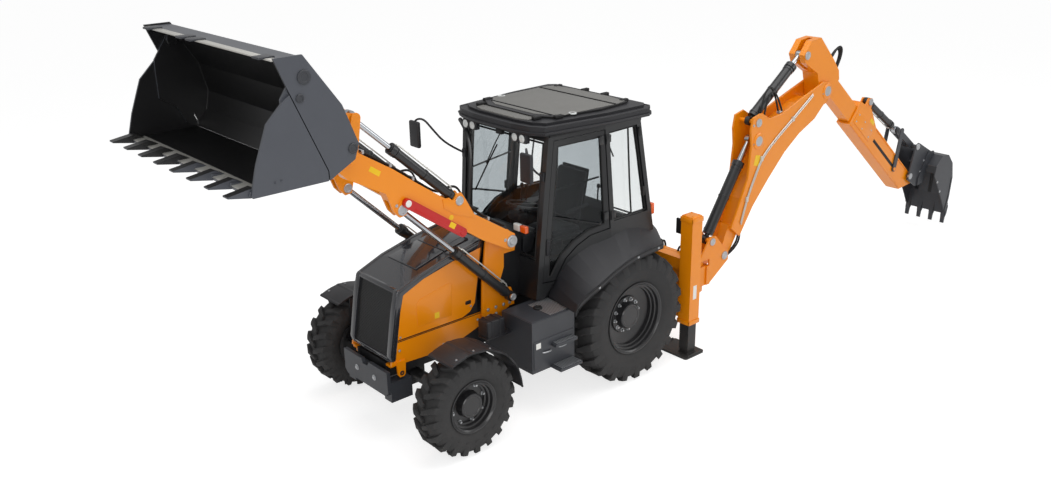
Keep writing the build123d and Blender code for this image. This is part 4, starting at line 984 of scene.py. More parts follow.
@dataclass
class Hydraulics(Assembly):
    """An assembly with cylinders: bands, oil lines and rod seals for their barrels."""

    line_r: float = 0.0075
    line_gap: float = 0.02

    @staticmethod
    def way(base: Flat, tip: Flat) -> Vector:
        """Give the way from a cylinder's foot to the pin of its rod."""
        return Vector((tip[0] - base[0], 0, tip[1] - base[1])).normalized()

    def rings(self, base: Flat, tip: Flat, y: float, radius: float,
              places: tuple[float, ...]) -> Piece:
        """Set bands round a barrel at distances from its base.

        Args:
            base: Pin at the barrel's foot, as X and Z.
            tip: Pin of its rod.
            y: Plane of the cylinder.
            radius: Radius of the barrel.
            places: Distances from the base.

        Returns:
            The bands, joined.
        """
        way = self.way(base, tip)
        start = Vector(at(base[0], y, base[1]))
        return self.join([self.turned(
            [(radius - 0.004, -0.012), (radius + 0.005, -0.01), (radius + 0.005, 0.01),
             (radius - 0.004, 0.012)], tuple(start + way * p), tuple(way), 36) for p in places])

    def line(self, base: Flat, tip: Flat, y: float, radius: float, start: float,
             end: float) -> Piece:
        """Lay a steel oil line along a barrel, with a banjo end at its gland.

        Args:
            base: Pin at the barrel's foot, as X and Z.
            tip: Pin of its rod.
            y: Plane of the cylinder.
            radius: Radius of the barrel.
            start: Distance from the base at which the line starts.
            end: Distance from the base at which it ends.

        Returns:
            The line with its end.
        """
        way = self.way(base, tip)
        up = Vector((-way.z, 0, way.x))
        origin = Vector((base[0], y, base[1]))
        route = [origin + way * start + up * (radius + 0.004),
                 origin + way * (start + 0.03) + up * (radius + self.line_gap),
                 origin + way * (end - 0.05) + up * (radius + self.line_gap),
                 origin + way * end + up * (radius + 0.004)]
        pipe = self.tube([tuple(p) for p in route], self.line_r, False)
        joint = origin + way * end + up * (radius - 0.002)
        banjo = self.turned([(0, 0), (0.016, 0), (0.016, 0.012), (0.01, 0.02), (0, 0.02)],
                            at(*joint), tuple(up), 12)
        return self.join([pipe, banjo])

    def seal(self, base: Flat, tip: Flat, y: float, length: float, profile: list[Flat]) -> Piece:
        """Turn the rod's seal at the open end of a barrel.

        Args:
            base: Pin at the barrel's foot, as X and Z.
            tip: Pin of its rod.
            y: Plane of the cylinder.
            length: Length of the barrel.
            profile: The seal's corners, as radius and place along the rod.

        Returns:
            The seal.
        """
        way = self.way(base, tip)
        gland = Vector(at(base[0], y, base[1])) + way * length
        return self.turned(profile, tuple(gland), tuple(way), 36)


@dataclass
class LoaderArms(Hydraulics):
    """Loader arms: pins, hoses, cylinder fittings, the red strut and the blank labels."""

    out_y: float = 0.505
    in_y: float = 0.395
    pivot: Flat = (1.19, 1.72)
    lift_pin: Flat = (2.44, 2.33)
    lift_base: Flat = (1.185, 1.124)
    tilt_base: Flat = (1.81, 2.275)
    tilt_eye: Flat = (2.88, 3.245)
    bucket_pin: Flat = (3.22, 3.09)

    def build(self) -> None:
        """Build what rides on the arms and on their cylinders."""
        caps = [self.cap(at(x, self.out_y, z), LEFT, r, 0.014)
                for (x, z), r in ((self.pivot, 0.062), (self.lift_pin, 0.05),
                                  (self.tilt_base, 0.045), (self.bucket_pin, 0.05))]
        caps += [self.cap(at(x, self.in_y, z), RIGHT, r, 0.012)
                 for (x, z), r in ((self.lift_pin, 0.045), (self.tilt_base, 0.042))]
        self.fit(self.mirrored(self.join(caps)), "arm_pin_caps", Coat.STEEL, "arms")
        keeper = self.bolts(
            [(x + dx, self.out_y, z + dz)
             for (x, z), dx, dz in ((self.lift_pin, 0.055, 0.05), (self.pivot, 0.08, 0.03))], LEFT)
        self.fit(self.mirrored(keeper), "arm_pin_bolts", Coat.STEEL, "arms")
        pad = self.side([(1.62, 2.062), (1.7, 2.19), (1.735, 2.26), (2.0, 2.33), (1.99, 2.24),
                         (1.86, 2.15)], self.out_y - 0.002, self.out_y + 0.006, 0.003)
        heel = self.side([(2.3, 2.36), (2.42, 2.29), (2.49, 2.3), (2.52, 2.36), (2.45, 2.42)],
                         self.out_y - 0.002, self.out_y + 0.006, 0.003)
        self.fit(self.mirrored(self.join([pad, heel])), "arm_doublers", Coat.ORANGE, "arms")
        label = self.side([(2.66, 2.685), (2.76, 2.755), (2.735, 2.795), (2.635, 2.725)],
                          self.out_y, self.out_y + 0.0015, 0.0005, 1)
        spot = self.turned([(0, 0), (0.026, 0), (0.026, 0.0012), (0, 0.0015)],
                           at(1.909, self.out_y, 2.133), LEFT, 20)
        self.fit(self.mirrored(self.join([label, spot])), "arm_labels", Coat.YELLOW, "arms")
        self.hoses()
        self.cylinders()
        self.strut()

    def hoses(self) -> None:
        """Run the tilt and clam hoses along the arm's upper edge."""
        runs = []
        for k, y in enumerate((0.41, 0.432, 0.452)):
            lift = 0.012 + 0.003 * k
            runs.append(self.tube(
                [(1.24, y, 1.86 + lift), (1.44, y, 1.985 + lift), (1.62, y - 0.02, 2.13 + lift),
                 (1.68, 0.374, 2.26 + lift), (1.74, 0.372, 2.36 + lift), (1.86, 0.372, 2.37 + lift),
                 (1.97, 0.38, 2.335 + lift), (2.28, y, 2.56 + lift), (2.51, y, 2.73 + lift),
                 (2.8, y, 2.915 + lift)], 0.009))
        clamps = [self.block((x - 0.012, 0.395, z), (x + 0.012, 0.47, z + 0.034), 0.003)
                  for x, z in ((1.44, 1.985), (2.28, 2.56), (2.51, 2.73), (2.78, 2.9))]
        self.fit(self.mirrored(self.join(runs)), "arm_hoses", Coat.RUBBER_AND_PAINTED_SHADE, "arms")
        self.fit(self.mirrored(self.join(clamps)), "arm_hose_clamps", Coat.STEEL, "arms")

    def cylinders(self) -> None:
        """Dress the lift and tilt cylinders."""
        # name, pin at the foot, pin of the rod, barrel's radius and length
        rows = (("lift", self.lift_base, self.lift_pin, 0.048, 0.93),
                ("tilt", self.tilt_base, self.tilt_eye, 0.046, 0.925))
        for name, base, tip, radius, length in rows:
            body = f"{name}_barrels"
            bands = self.rings(base, tip, ARM_Y, radius, (0.1, length * 0.5, length - 0.075))
            pipe = self.line(base, tip, ARM_Y, radius, 0.1, length - 0.03)
            self.fit(self.mirrored(bands), f"{name}_barrel_bands", Coat.CYLINDER, body)
            self.fit(self.mirrored(pipe), f"{name}_oil_lines", Coat.ZINC_AND_PAINTED_HIGHLIGHT, body)
            seal = self.seal(base, tip, ARM_Y, length,
                             [(0.028, -0.004), (radius * 0.86, -0.004), (radius * 0.78, 0.006),
                              (0.033, 0.012), (0.028, 0.01)])
            self.fit(self.mirrored(seal), f"{name}_gland_seals", Coat.RUBBER_AND_PAINTED_SHADE, body)

    def strut(self) -> None:
        """Dress the red safety strut that is stowed under the left arm."""
        ends = [self.cap(at(x, 0.545, z), LEFT, 0.032, 0.01)
                for x, z in ((2.4, 2.39), (1.81, 1.975))]
        self.fit(ends[0], "strut_front_pin", Coat.WHITE, "arms")
        self.fit(ends[1], "strut_rear_boss", Coat.RED, "arms")
        rail = self.side([(2.352, 2.31), (1.858, 1.965), (1.84, 1.99), (2.334, 2.335)], 0.543,
                         0.551, 0.003)
        self.fit(rail, "strut_flange", Coat.RED, "arms")
        label = self.side([(1.975, 2.075), (1.915, 2.033), (1.885, 2.075), (1.945, 2.117)], 0.5505,
                          0.552, 0.0005, 1)
        self.fit(label, "strut_label", Coat.YELLOW, "arms")


@dataclass
class Cab(Assembly):
    """The cab: seals, wipers, roof panels, lamps, mirrors, door bars, consoles and seat."""

    low_z: float = 1.06
    rise: float = 1.68
    pane: tuple[Flat, ...] = (
        (0.168, 2.612), (0.716, 2.612), (0.842, 1.29), (0.815, 1.29), (0.768, 1.375),
        (0.692, 1.496), (0.548, 1.612), (0.378, 1.694), (0.184, 1.728))
    hinge_z: tuple[float, float] = (1.8, 2.58)
    levers: tuple[Flat, ...] = ((0.24, -0.37), (0.24, -0.45), (-0.33, 0.16), (-0.33, -0.16))
    pad_fill: float = 0.8
    pad_pressure: float = 4.0
    pad_frames: int = 20
    pad_mesh: float = 0.012
    quarter: tuple[Flat, ...] = ((0.046, 1.742), (0.034, 2.626), (-0.372, 2.626), (-0.436, 1.736))

    def wall(self, x: float, z: float, inset: float = 0.0) -> Point:
        """Give the place on the cab's left wall above a point of the side view.

        Args:
            x: Place along the machine, from the rear axle.
            z: Height.
            inset: Depth below the wall's outer face.

        Returns:
            The place on the leaning wall.
        """
        # Share of the cab's height, then the door's hinge line and the post at the wall's other end
        t = (z - self.low_z) / self.rise
        hinge_x, hinge_y = 0.125 - 0.025 * t, 0.865 - 0.175 * t
        if x > hinge_x:
            end_x, end_y = 0.985 - 0.15 * t, 0.62 + 0.045 * t
        else:
            end_x, end_y = -0.545 + 0.1 * t, 0.865 - 0.215 * t
        share = (x - hinge_x) / (end_x - hinge_x)
        return x, hinge_y + (end_y - hinge_y) * share - inset, z

    def front(self, y: float, z: float, proud: float = 0.0) -> Point:
        """Give the place on the windscreen at a width and a height."""
        return 0.985 - 0.15 * (z - self.low_z) / self.rise + proud, y, z

    def build(self) -> None:
        """Build everything on the cab and its doors."""
        self.seals()
        self.bars()
        self.wipers()
        self.roof()
        self.lamps()
        self.mirrors()
        self.inside()
        self.seat()

    def seals(self) -> None:
        """Run rubber seals round the windows and the doors' leaves."""
        for side, sign in SIDES:
            ring = self.tube([self.wall(x, z, 0.012) for x, z in self.pane], 0.011, False, True)
            self.fit(self.repeat(ring, [flip(sign)]), f"door_seal_{side}", Coat.RUBBER_AND_PAINTED_SHADE,
                     f"door_{side}")
        sides = self.tube([self.wall(x, z, 0.026) for x, z in self.quarter], 0.012, False, True)
        screen = self.tube([self.front(y, z, -0.022) for y, z in (
            (0.55, 1.485), (0.575, 2.645), (-0.575, 2.645), (-0.55, 1.485))], 0.014, False, True)
        rear = self.tube([(-0.515 + 0.1 * (z - 1.56) / 1.18, y, z)
                          for y, z in ((0.7, 1.605), (0.57, 2.645), (-0.57, 2.645), (-0.7, 1.605))],
                         0.013, False, True)
        self.fit(self.join([self.mirrored(sides), screen, rear]), "window_seals", Coat.RUBBER_AND_PAINTED_SHADE,
                 "machine")

    def bars(self) -> None:
        """Fit the doors' bars, handles and hinges, and the quarter windows' latches."""
        for side, sign in SIDES:
            way = flip(sign)
            bar = self.tube([self.wall(x, z, d) for x, z, d in (
                (0.795, 1.9, 0.03), (0.74, 1.895, -0.012), (0.46, 1.8, -0.014),
                (0.25, 1.735, -0.012), (0.215, 1.722, 0.03))], 0.011)
            upper = self.tube([self.wall(x, z, 0.055)
                               for x, z in ((0.18, 2.2), (0.47, 2.18), (0.77, 2.16))], 0.01)
            self.fit(self.repeat(self.join([bar, upper]), [way]), f"door_bar_{side}",
                     Coat.CAB_STEEL, f"door_{side}")
            x, y, z = self.wall(0.852, 1.6, 0.0)
            grip = self.block((x - 0.028, y - 0.01, z - 0.085), (x + 0.016, y + 0.012, z + 0.085),
                              0.008, 3)
            barrel = self.cap(at(x - 0.006, y + 0.01, z + 0.055), LEFT, 0.013, 0.01)
            self.fit(self.repeat(self.join([grip, barrel]), [way]), f"door_handle_{side}",
                     Coat.MOULDED, f"door_{side}")
            hinges = []
            for hinge_z in self.hinge_z:
                x, y, z = self.wall(0.135, hinge_z)
                hinges.append(self.block((x + 0.004, y - 0.012, z - 0.045),
                                         (x + 0.064, y + 0.01, z + 0.045), 0.006, 3))
            self.fit(self.repeat(self.join(hinges), [way]), f"door_hinge_leaves_{side}",
                     Coat.CAB_STEEL, f"door_{side}")
        knuckles = []
        for hinge_z in self.hinge_z:
            x, y, z = self.wall(0.105, hinge_z)
            knuckles.append(self.turned([(0, -0.05), (0.007, -0.05), (0.007, 0.05), (0, 0.05)],
                                        at(x - 0.006, y + 0.01, z), UP, 20))
            knuckles.append(
                self.block((x - 0.07, y - 0.02, z - 0.04), (x - 0.018, y + 0.008, z + 0.04), 0.005))
        self.fit(self.mirrored(self.join(knuckles)), "door_hinge_knuckles", Coat.CAB_STEEL,
                 "machine")
        rail = self.tube(
            [self.wall(x, z, -0.01)
             for x, z in ((-0.226, 2.63), (-0.205, 2.3), (-0.19, 2.0), (-0.185, 1.76))], 0.01)
        clips = [self.block((x - 0.026, y - 0.026, z - 0.05), (x + 0.01, y + 0.008, z + 0.05),
                            0.006) for x, y, z in (self.wall(-0.405, 2.56), self.wall(-0.4, 1.94))]
        self.fit(self.mirrored(self.join([rail, *clips])), "quarter_window_fittings", Coat.RUBBER_AND_PAINTED_SHADE,
                 "machine")
        grab = self.tube([(0.88, -0.66, 2.68), (0.905, -0.6, 2.67), (0.925, -0.49, 2.58),
                          (0.93, -0.43, 2.42), (0.955, -0.41, 2.2), (0.985, -0.395, 1.95),
                          (0.995, -0.39, 1.8), (0.97, -0.4, 1.72)], 0.024)
        self.fit(grab, "screen_grab_tube", Coat.CAB_STEEL, "machine")

    def wipers(self) -> None:
        """Hang the wiper from the windscreen's head, and one behind."""
        arm = self.tube([self.front(-0.02, 2.66, 0.02), self.front(-0.1, 2.52, 0.03),
                         self.front(-0.22, 2.3, 0.026)], 0.0065, False)
        blade = self.tube([self.front(-0.08, 2.52, 0.012), self.front(-0.25, 2.24, 0.012),
                           self.front(-0.4, 1.98, 0.012)], 0.008, False)
        hub = self.block((0.848, -0.06, 2.645), (0.9, 0.03, 2.7), 0.008, 3)
        tail = self.tube([(-0.425, 0.0, 2.64), (-0.442, 0.16, 2.4), (-0.462, 0.26, 2.2)], 0.008,
                         False)
        self.fit(self.join([arm, blade, hub, tail]), "wiper_arms", Coat.RUBBER_AND_PAINTED_SHADE, "machine")

    def roof(self) -> None:
        """Mould the roof's brim, panels, seams, plugs and gutter."""
        plan = ((1.008, 0.3), (0.968, 0.535), (0.886, 0.668), (0.11, 0.78), (-0.442, 0.797),
                (-0.522, 0.722))
        ring = [(x, y) for x, y in plan] + [(x, -y) for x, y in reversed(plan)]
        low = self.tube([(x, y, 2.765) for x, y in ring], 0.012, False, True)
        high = self.tube([(x * 0.985, y * 0.985, 2.822) for x, y in ring], 0.01, False, True)
        # front, middle and rear panel of the top
        panels = (((0.7, 0.3), (0.63, 0.44), (0.63, -0.44), (0.7, -0.3)),
                  ((0.6, 0.46), (0.52, 0.55), (-0.14, 0.575), (-0.14, -0.575), (0.52, -0.55),
                   (0.6, -0.46)),
                  ((-0.18, 0.575), (-0.33, 0.54), (-0.37, 0.3), (-0.37, -0.3), (-0.33, -0.54),
                   (-0.18, -0.575)))
        tray = [self.plate([at(x, y, 2.868) for x, y in corners], (0, 0, 0.008), 0.005, 3)
                for corners in panels]
        visor = self.plate([at(x, y, 2.842)
                            for x, y in ((0.905, 0.27), (0.865, 0.4), (0.765, 0.4), (0.765, -0.4),
                                         (0.865, -0.4), (0.905, -0.27))], (0, 0, 0.02), 0.008, 3)
        self.fit(self.join([low, high]), "roof_brim", Coat.MOULDED, "machine")
        # The top panels wear a lighter copy of the brim's moulding: painted light from above
        self.fit(self.join([*tray, visor]), "roof_panels", Coat.ROOF, "machine")
        edge = ((0.762, 0.335), (0.642, 0.524), (0.08, 0.605), (-0.332, 0.565), (-0.384, 0.3))
        loop = [(x, y) for x, y in edge] + [(x, -y) for x, y in reversed(edge)]
        seam = self.tube([(x, y, 2.866) for x, y in loop], 0.008, False, True)
        lines = [self.tube([(x, -half, 2.874), (x, 0.0, 2.876), (x, half, 2.874)], 0.006)
                 for x, half in ((0.615, 0.46), (-0.16, 0.575))]
        latches = [self.block((x - 0.05, y - 0.024, 2.85), (x + 0.05, y + 0.024, 2.886), 0.01, 3)
                   for x, y in ((0.78, 0.43), (0.78, -0.43), (0.6, 0.545), (0.6, -0.545),
                                (-0.36, 0.5), (-0.36, -0.5), (-0.43, 0.15), (-0.43, -0.15))]
        self.fit(self.join([seam, *lines, *latches]), "roof_seams", Coat.RUBBER_AND_PAINTED_SHADE, "machine")
        spots = [self.cap(at(x, y, 2.866), UP, 0.042, 0.011)
                 for x, y in ((0.41, 0.545), (0.41, -0.545))]
        self.fit(self.join(spots), "roof_plugs", Coat.LENS, "machine")
        gutter = self.tube([self.wall(x, 2.728, -0.004) for x in (0.83, 0.5, 0.1, -0.2, -0.43)],
                           0.011, False)
        self.fit(self.mirrored(gutter), "roof_gutter", Coat.RUBBER_AND_PAINTED_SHADE, "machine")

    def lamps(self) -> None:
        """Put each roof lamp in its housing and set the posts' signal lamps."""
        shells, lenses = [], []
        for x, way in ((0.975, 1), (-0.508, -1)):
            for y in ((0.44, 0.33) if way > 0 else (0.56, 0.45)):
                for sign in (1, -1):
                    shells.append(self.block(
                        (x - 0.055 if way > 0 else x - 0.004, sign * y - 0.052, 2.648),
                        (x + 0.004 if way > 0 else x + 0.055, sign * y + 0.052, 2.742), 0.01, 3))
                    lenses.append(self.turned(
                        [(0, 0.002), (0.036, 0.002), (0.04, 0.006), (0.036, 0.01), (0.018, 0.014),
                         (0, 0.015)], at(x + 0.002 * way, sign * y, 2.695), (way, 0, 0), 32))
        self.fit(self.join(shells), "lamp_housings", Coat.MOULDED, "machine", "lamps")
        self.fit(self.join(lenses), "lamp_lenses", Coat.LENS, "machine")
        amber, clear = ([self.block((1.0, y - 0.045, 1.762), (1.045, y + 0.045, 1.835), 0.01, 3)
                         for y in (out, -out)] for out in (0.5, 0.4))
        stay = [self.block((0.918, y - 0.1, 1.775), (1.002, y + 0.1, 1.795), 0.003)
                for y in (0.45, -0.45)]
        tail = [self.block((-0.56, y - 0.035, 1.66), (-0.515, y + 0.035, 1.78), 0.008, 3)
                for y in (0.745, -0.745)]
        self.fit(self.join(amber + tail), "signal_lamps", Coat.AMBER, "machine")
        self.fit(self.join(clear), "side_lamps", Coat.LENS, "machine")
        self.fit(self.join(stay), "lamp_stays", Coat.CAB_STEEL, "machine")

    def mirrors(self) -> None:
        """Shape the mirrors' heads, their glass and their clamps."""
        head = self.block((1.285, 0.8, 2.42), (1.328, 0.96, 2.7), 0.018, 4)
        arm = self.tube([(0.872, 0.612, 2.33), (1.06, 0.68, 2.44), (1.18, 0.755, 2.62),
                         (1.24, 0.8, 2.72), (1.29, 0.86, 2.725), (1.305, 0.88, 2.69)], 0.011)
        foot = self.block((0.848, 0.585, 2.285), (0.892, 0.64, 2.375), 0.006)
        self.fit(self.mirrored(self.join([head, arm, foot])), "mirror_heads", Coat.MOULDED,
                 "machine", "mirrors")
        glass = self.block((1.281, 0.814, 2.436), (1.286, 0.946, 2.684), 0.002)
        self.fit(self.mirrored(glass), "mirror_glass", Coat.MIRROR, "machine")

    def inside(self) -> None:
        """Fit the dashboard, the consoles, the levers and the steering wheel's grip."""
        dash = self.side([(0.86, 1.62), (0.74, 1.66), (0.7, 1.6), (0.74, 1.46), (0.87, 1.44)],
                         0.3, -0.3, 0.012, 3)
        cowl = self.block((0.62, -0.09, 1.7), (0.74, 0.09, 1.78), 0.014, 3)
        console = self.side([(0.36, 1.12), (0.36, 1.62), (0.28, 1.7), (-0.2, 1.66), (-0.25, 1.12)],
                            -0.52, -0.3, 0.02, 3)
        rear = self.side([(-0.22, 1.1), (-0.24, 1.66), (-0.36, 1.72), (-0.42, 1.6), (-0.42, 1.1)],
                         -0.3, 0.3, 0.02, 3)
        levers = [self.tube([(x, y, 1.66), (x + 0.01, y, 1.8), (x - 0.01, y, 1.86)], 0.009)
                  for x, y in self.levers]
        knobs = [self.turned([(0, 0), (0.018, 0.006), (0.022, 0.028), (0.014, 0.048), (0, 0.052)],
                             at(x - 0.01, y, 1.85), UP, 20) for x, y in self.levers]
        self.fit(self.join([dash, cowl, console, rear, *levers, *knobs]), "cab_consoles",
                 Coat.MOULDED, "machine")
        ring = self.turned([(0.175 + 0.015 * math.cos(a), 0.012 + 0.013 * math.sin(a))
                            for a in (k * math.pi / 5 for k in range(10))], at(0.595, 0.0, 1.822),
                           (-0.22, 0.0, 0.975), 48)
        self.fit(ring, "steering_grip", Coat.RUBBER_AND_PAINTED_SHADE, "machine")

    def seat(self) -> None:
        """Sew the seat's two pads and stand them on their base."""
        cushion = self.block((-0.035, -0.225, 1.445), (0.395, 0.225, 1.515), 0.03, 3)
        back = self.side([(-0.03, 1.555), (0.035, 1.555), (-0.075, 2.105), (-0.145, 2.105)], -0.215,
                         0.215, 0.026, 3)
        for pad, name in ((cushion, "seat_cushion"), (back, "seat_back")):
            swollen = self.inflate(pad)
            self.fit(swollen, name, Coat.SEAT, "machine")
        pan = self.block((-0.045, -0.235, 1.41), (0.405, 0.235, 1.445), 0.012, 3)
        frame = self.side([(-0.045, 1.53), (-0.028, 1.53), (-0.145, 2.11), (-0.165, 2.11)], -0.2,
                          0.2, 0.006)
        post = self.turned([(0, 1.09), (0.16, 1.09), (0.16, 1.11), (0.1, 1.15), (0.09, 1.2),
                            (0.1, 1.22), (0.09, 1.25), (0.1, 1.28), (0.1, 1.36), (0.15, 1.415),
                            (0, 1.415)], at(0.18, 0.0, 0.0), UP, 36)
        rests = [self.tube([(-0.09, y, 1.74), (0.06, y, 1.73), (0.24, y, 1.71)], 0.022)
                 for y in (0.245, -0.245)]
        self.fit(self.join([pan, frame, post, *rests]), "seat_base", Coat.MOULDED, "machine",
                 "seat")

    def inflate(self, pad: Piece, cap: float = 0.014) -> Piece:
        """Blow a pad up as cloth, holding each point near its start.

        Args:
            pad: Slightly small pad.
            cap: Furthest that a point may move.

        Returns:
            The pad, swollen and smooth.
        """
        self.pick(pad)
        remesh = pad.modifiers.new("weave", "REMESH")
        remesh.mode, remesh.voxel_size = "VOXEL", self.pad_mesh
        bpy.ops.object.modifier_apply(modifier=remesh.name)
        start = [vertex.co.copy() for vertex in pad.data.vertices]
        cloth = pad.modifiers.new("cloth", "CLOTH")
        cloth.settings.quality = 5
        cloth.settings.use_pressure = True
        cloth.settings.uniform_pressure_force = self.pad_pressure
        cloth.settings.effector_weights.gravity = 0.0
        cloth.point_cache.frame_start, cloth.point_cache.frame_end = 1, self.pad_frames
        for number in range(1, self.pad_frames + 1):
            bpy.context.scene.frame_set(number)
        bpy.ops.object.modifier_apply(modifier=cloth.name)
        bpy.context.scene.frame_set(1)
        for vertex, old in zip(pad.data.vertices, start):
            move = vertex.co - old
            if move.length > cap:
                vertex.co = old + move * (cap / move.length)
        smooth = pad.modifiers.new("smooth", "SUBSURF")
        smooth.levels = smooth.render_levels = 1
        bpy.ops.object.modifier_apply(modifier=smooth.name)
        return pad


@dataclass
class Chassis(Assembly):
    """Frame, towers, boxes and fenders: covers, treads, bolts, hoses and blank labels."""

    box_y: float = 0.98

    def build(self) -> None:
        """Build what rides on the machine's frame."""
        self.boxes()
        self.nose()
        self.towers()
        self.fenders()
        self.axle()

    def boxes(self) -> None:
        """Give the side boxes lids, handles, treads and a blank label, and add the battery box."""
        lids = [self.block((0.818, self.box_y - 0.003, 0.53), (1.342, self.box_y + 0.008, 0.835),
                           0.006, 3),
                self.block((0.806, 0.56, 1.036), (1.354, 0.972, 1.046), 0.006, 3)]
        self.fit(self.mirrored(self.join(lids)), "box_lids", Coat.GRAPHITE, "machine")
        treads = []
        for z, y0, y1 in ((1.046, 0.62, 0.95), (0.77, 0.99, 1.052), (0.53, 0.99, 1.122)):
            for k in range(12):
                x = 0.845 + 0.022 * k
                treads.append((x, (y0 + y1) / 2, z, (y1 - y0) / 2))
        bars = [self.block((x - 0.005, y - half, z - 0.001), (x + 0.005, y + half, z + 0.005),
                           0.002, 1) for x, y, z, half in treads]
        self.fit(self.mirrored(self.join(bars)), "step_treads", Coat.STEEL, "machine")
        label = self.block((1.255, self.box_y + 0.0075, 0.755), (1.315, self.box_y + 0.0095, 0.815),
                           0.0006, 1)
        self.fit(self.mirrored(label), "box_labels", Coat.WHITE, "machine")
        handle = [self.tube(
            [(x, self.box_y + 0.004, 0.7), (x + 0.01, self.box_y + 0.03, 0.7),
             (x + 0.1, self.box_y + 0.03, 0.7), (x + 0.11, self.box_y + 0.004, 0.7)], 0.007)
                  for x in (0.92, 1.12)]
        self.fit(self.mirrored(self.join(handle)), "box_handles", Coat.STEEL, "machine")
        battery = self.block((1.44, 0.525, 0.872), (1.66, 0.675, 1.04), 0.012, 3)
        shelf = self.block((1.345, 0.53, 0.85), (1.665, 0.67, 0.872), 0.004)
        strap = [self.block((x - 0.012, 0.521, 0.868), (x + 0.012, 0.679, 1.045), 0.004)
                 for x in (1.5, 1.6)]
        self.fit(self.join([battery, shelf, *strap]), "battery_box", Coat.MOULDED, "machine")
        cap = self.cap(at(1.08, 0.75, 1.044), UP, 0.045, 0.022)
        self.fit(self.mirrored(cap), "filler_caps", Coat.RUBBER_AND_PAINTED_SHADE, "machine")

    def nose(self) -> None:
        """Bolt the front weight on and shape its edges."""
        heads = self.bolts([(2.638, y, 0.608) for y in (0.15, -0.15)], AHEAD, 0.02, 0.014)
        skirt = self.bolts(
            [(x, 0.345, z) for x, z in ((2.46, 0.9), (2.46, 0.79), (1.95, 0.8), (1.52, 0.93))],
            LEFT, 0.01)
        self.fit(self.join([heads, self.mirrored(skirt)]), "nose_bolts", Coat.STEEL, "machine")
        edge = self.side([(1.41, 0.988), (2.512, 0.988), (2.512, 0.994), (1.41, 0.994)], 0.338,
                         0.348, 0.002)
        ring = self.turned([(0.019 + r, h) for r, h in around(8, 0.005)], at(2.461, 0.367, 0.677),
                           LEFT, 28)
        self.fit(self.mirrored(self.join([edge, ring])), "skirt_edges", Coat.RUBBER_AND_PAINTED_SHADE, "machine")

    def towers(self) -> None:
        """Stiffen the towers and run the hose bundles up behind them."""
        pins = [self.cap(at(1.19, 0.516, 1.72), LEFT, 0.034, 0.01),
                self.cap(at(1.185, 0.499, 1.124), LEFT, 0.036, 0.012)]
        self.fit(self.mirrored(self.join(pins)), "tower_pin_caps", Coat.STEEL, "machine")
        heads = self.bolts([(x, 0.391, z)
                            for x, z in ((1.32, 1.02), (1.42, 1.02), (1.32, 0.95), (1.42, 0.95),
                                         (1.22, 1.02), (1.14, 1.02))], LEFT, 0.013)
        self.fit(self.mirrored(heads), "tower_bolts", Coat.STEEL, "machine")
        rim = self.side([(1.463, 0.985), (1.48, 1.0), (1.464, 1.33), (1.412, 1.72), (1.395, 1.72),
                         (1.448, 1.33), (1.455, 1.01)], 0.386, 0.392, 0.0015)
        self.fit(self.mirrored(rim), "tower_edges", Coat.ORANGE, "machine")
        hoses = []
        for k, y in enumerate((0.3, 0.322, 0.344)):
            hoses.append(self.tube([(1.2 + 0.012 * k, y, 1.02), (1.235, y, 1.2), (1.212, y, 1.42),
                                    (1.2, y, 1.6), (1.23, y + 0.006, 1.72)], 0.011))
        self.fit(self.mirrored(self.join(hoses)), "tower_hoses", Coat.RUBBER_AND_PAINTED_SHADE, "machine")
        lines = [self.tube([(1.3, 0.3, 1.02), (1.325, y, 1.1), (1.3, y, 1.35), (1.275, y, 1.62)],
                           0.007) for y in (0.332, 0.35)]
        ties = [self.block((1.182, 0.285, z), (1.262, 0.366, z + 0.022), 0.004)
                for z in (1.24, 1.5)]
        self.fit(self.mirrored(self.join(lines + ties)), "tower_lines", Coat.ZINC_AND_PAINTED_HIGHLIGHT, "machine")

    @staticmethod
    def over_wheel(radius: float, degrees: float) -> Flat:
        """Give a point round the front wheel, by its distance and its angle from ahead."""
        a = math.radians(degrees)
        return FRONT_AXLE[0] + radius * math.cos(a), FRONT_AXLE[1] + radius * math.sin(a)

    def fenders(self) -> None:
        """Bead and bolt the rear fenders, and skin the front ones."""
        line = ((0.922, 1.082), (0.895, 1.143), (0.786, 1.2), (0.672, 1.245), (0.557, 1.286),
                (0.46, 1.328), (0.36, 1.366), (0.24, 1.404), (0.122, 1.436), (0.0, 1.452),
                (-0.125, 1.463), (-0.32, 1.473))
        bead = self.tube([(x, 1.13, z - 0.004) for x, z in line], 0.009)
        heel = self.tube([(x, 1.13, z - 0.046) for x, z in line], 0.006)
        self.fit(self.mirrored(self.join([bead, heel])), "fender_beads", Coat.RUBBER_AND_PAINTED_SHADE, "machine")
        heads = self.bolts(
            [(x, 1.132, z) for x, z in ((0.6, 1.248), (0.05, 1.424), (-0.25, 1.447))], LEFT, 0.009)
        self.fit(self.mirrored(heads), "fender_bolts", Coat.STEEL, "machine")
        for side, sign in SIDES:
            flat = flip(sign)
            skin = self.side([self.over_wheel(0.566, a) for a in range(62, 179, 4)]
                             + [self.over_wheel(0.556, a) for a in reversed(range(62, 179, 4))],
                             0.772, 1.13, 0.004, 2)
            self.fit(self.repeat(skin, [flat]), f"front_fender_skin_{side}", Coat.MOULDED,
                     f"knuckle_{side}")
            lip = self.tube(
                [(x, 1.124, z) for x, z in (self.over_wheel(0.557, a) for a in range(63, 179, 5))],
                0.007)
            self.fit(self.repeat(lip, [flat]), f"front_fender_lip_{side}", Coat.RUBBER_AND_PAINTED_SHADE,
                     f"knuckle_{side}")
            screws = []
            for a in (72, 92, 112, 150):
                x, z = self.over_wheel(0.565, a)
                way = (x - FRONT_AXLE[0], 0.0, z - FRONT_AXLE[1])
                screws.append(self.bolts([(x, 1.085, z)], way, 0.008))
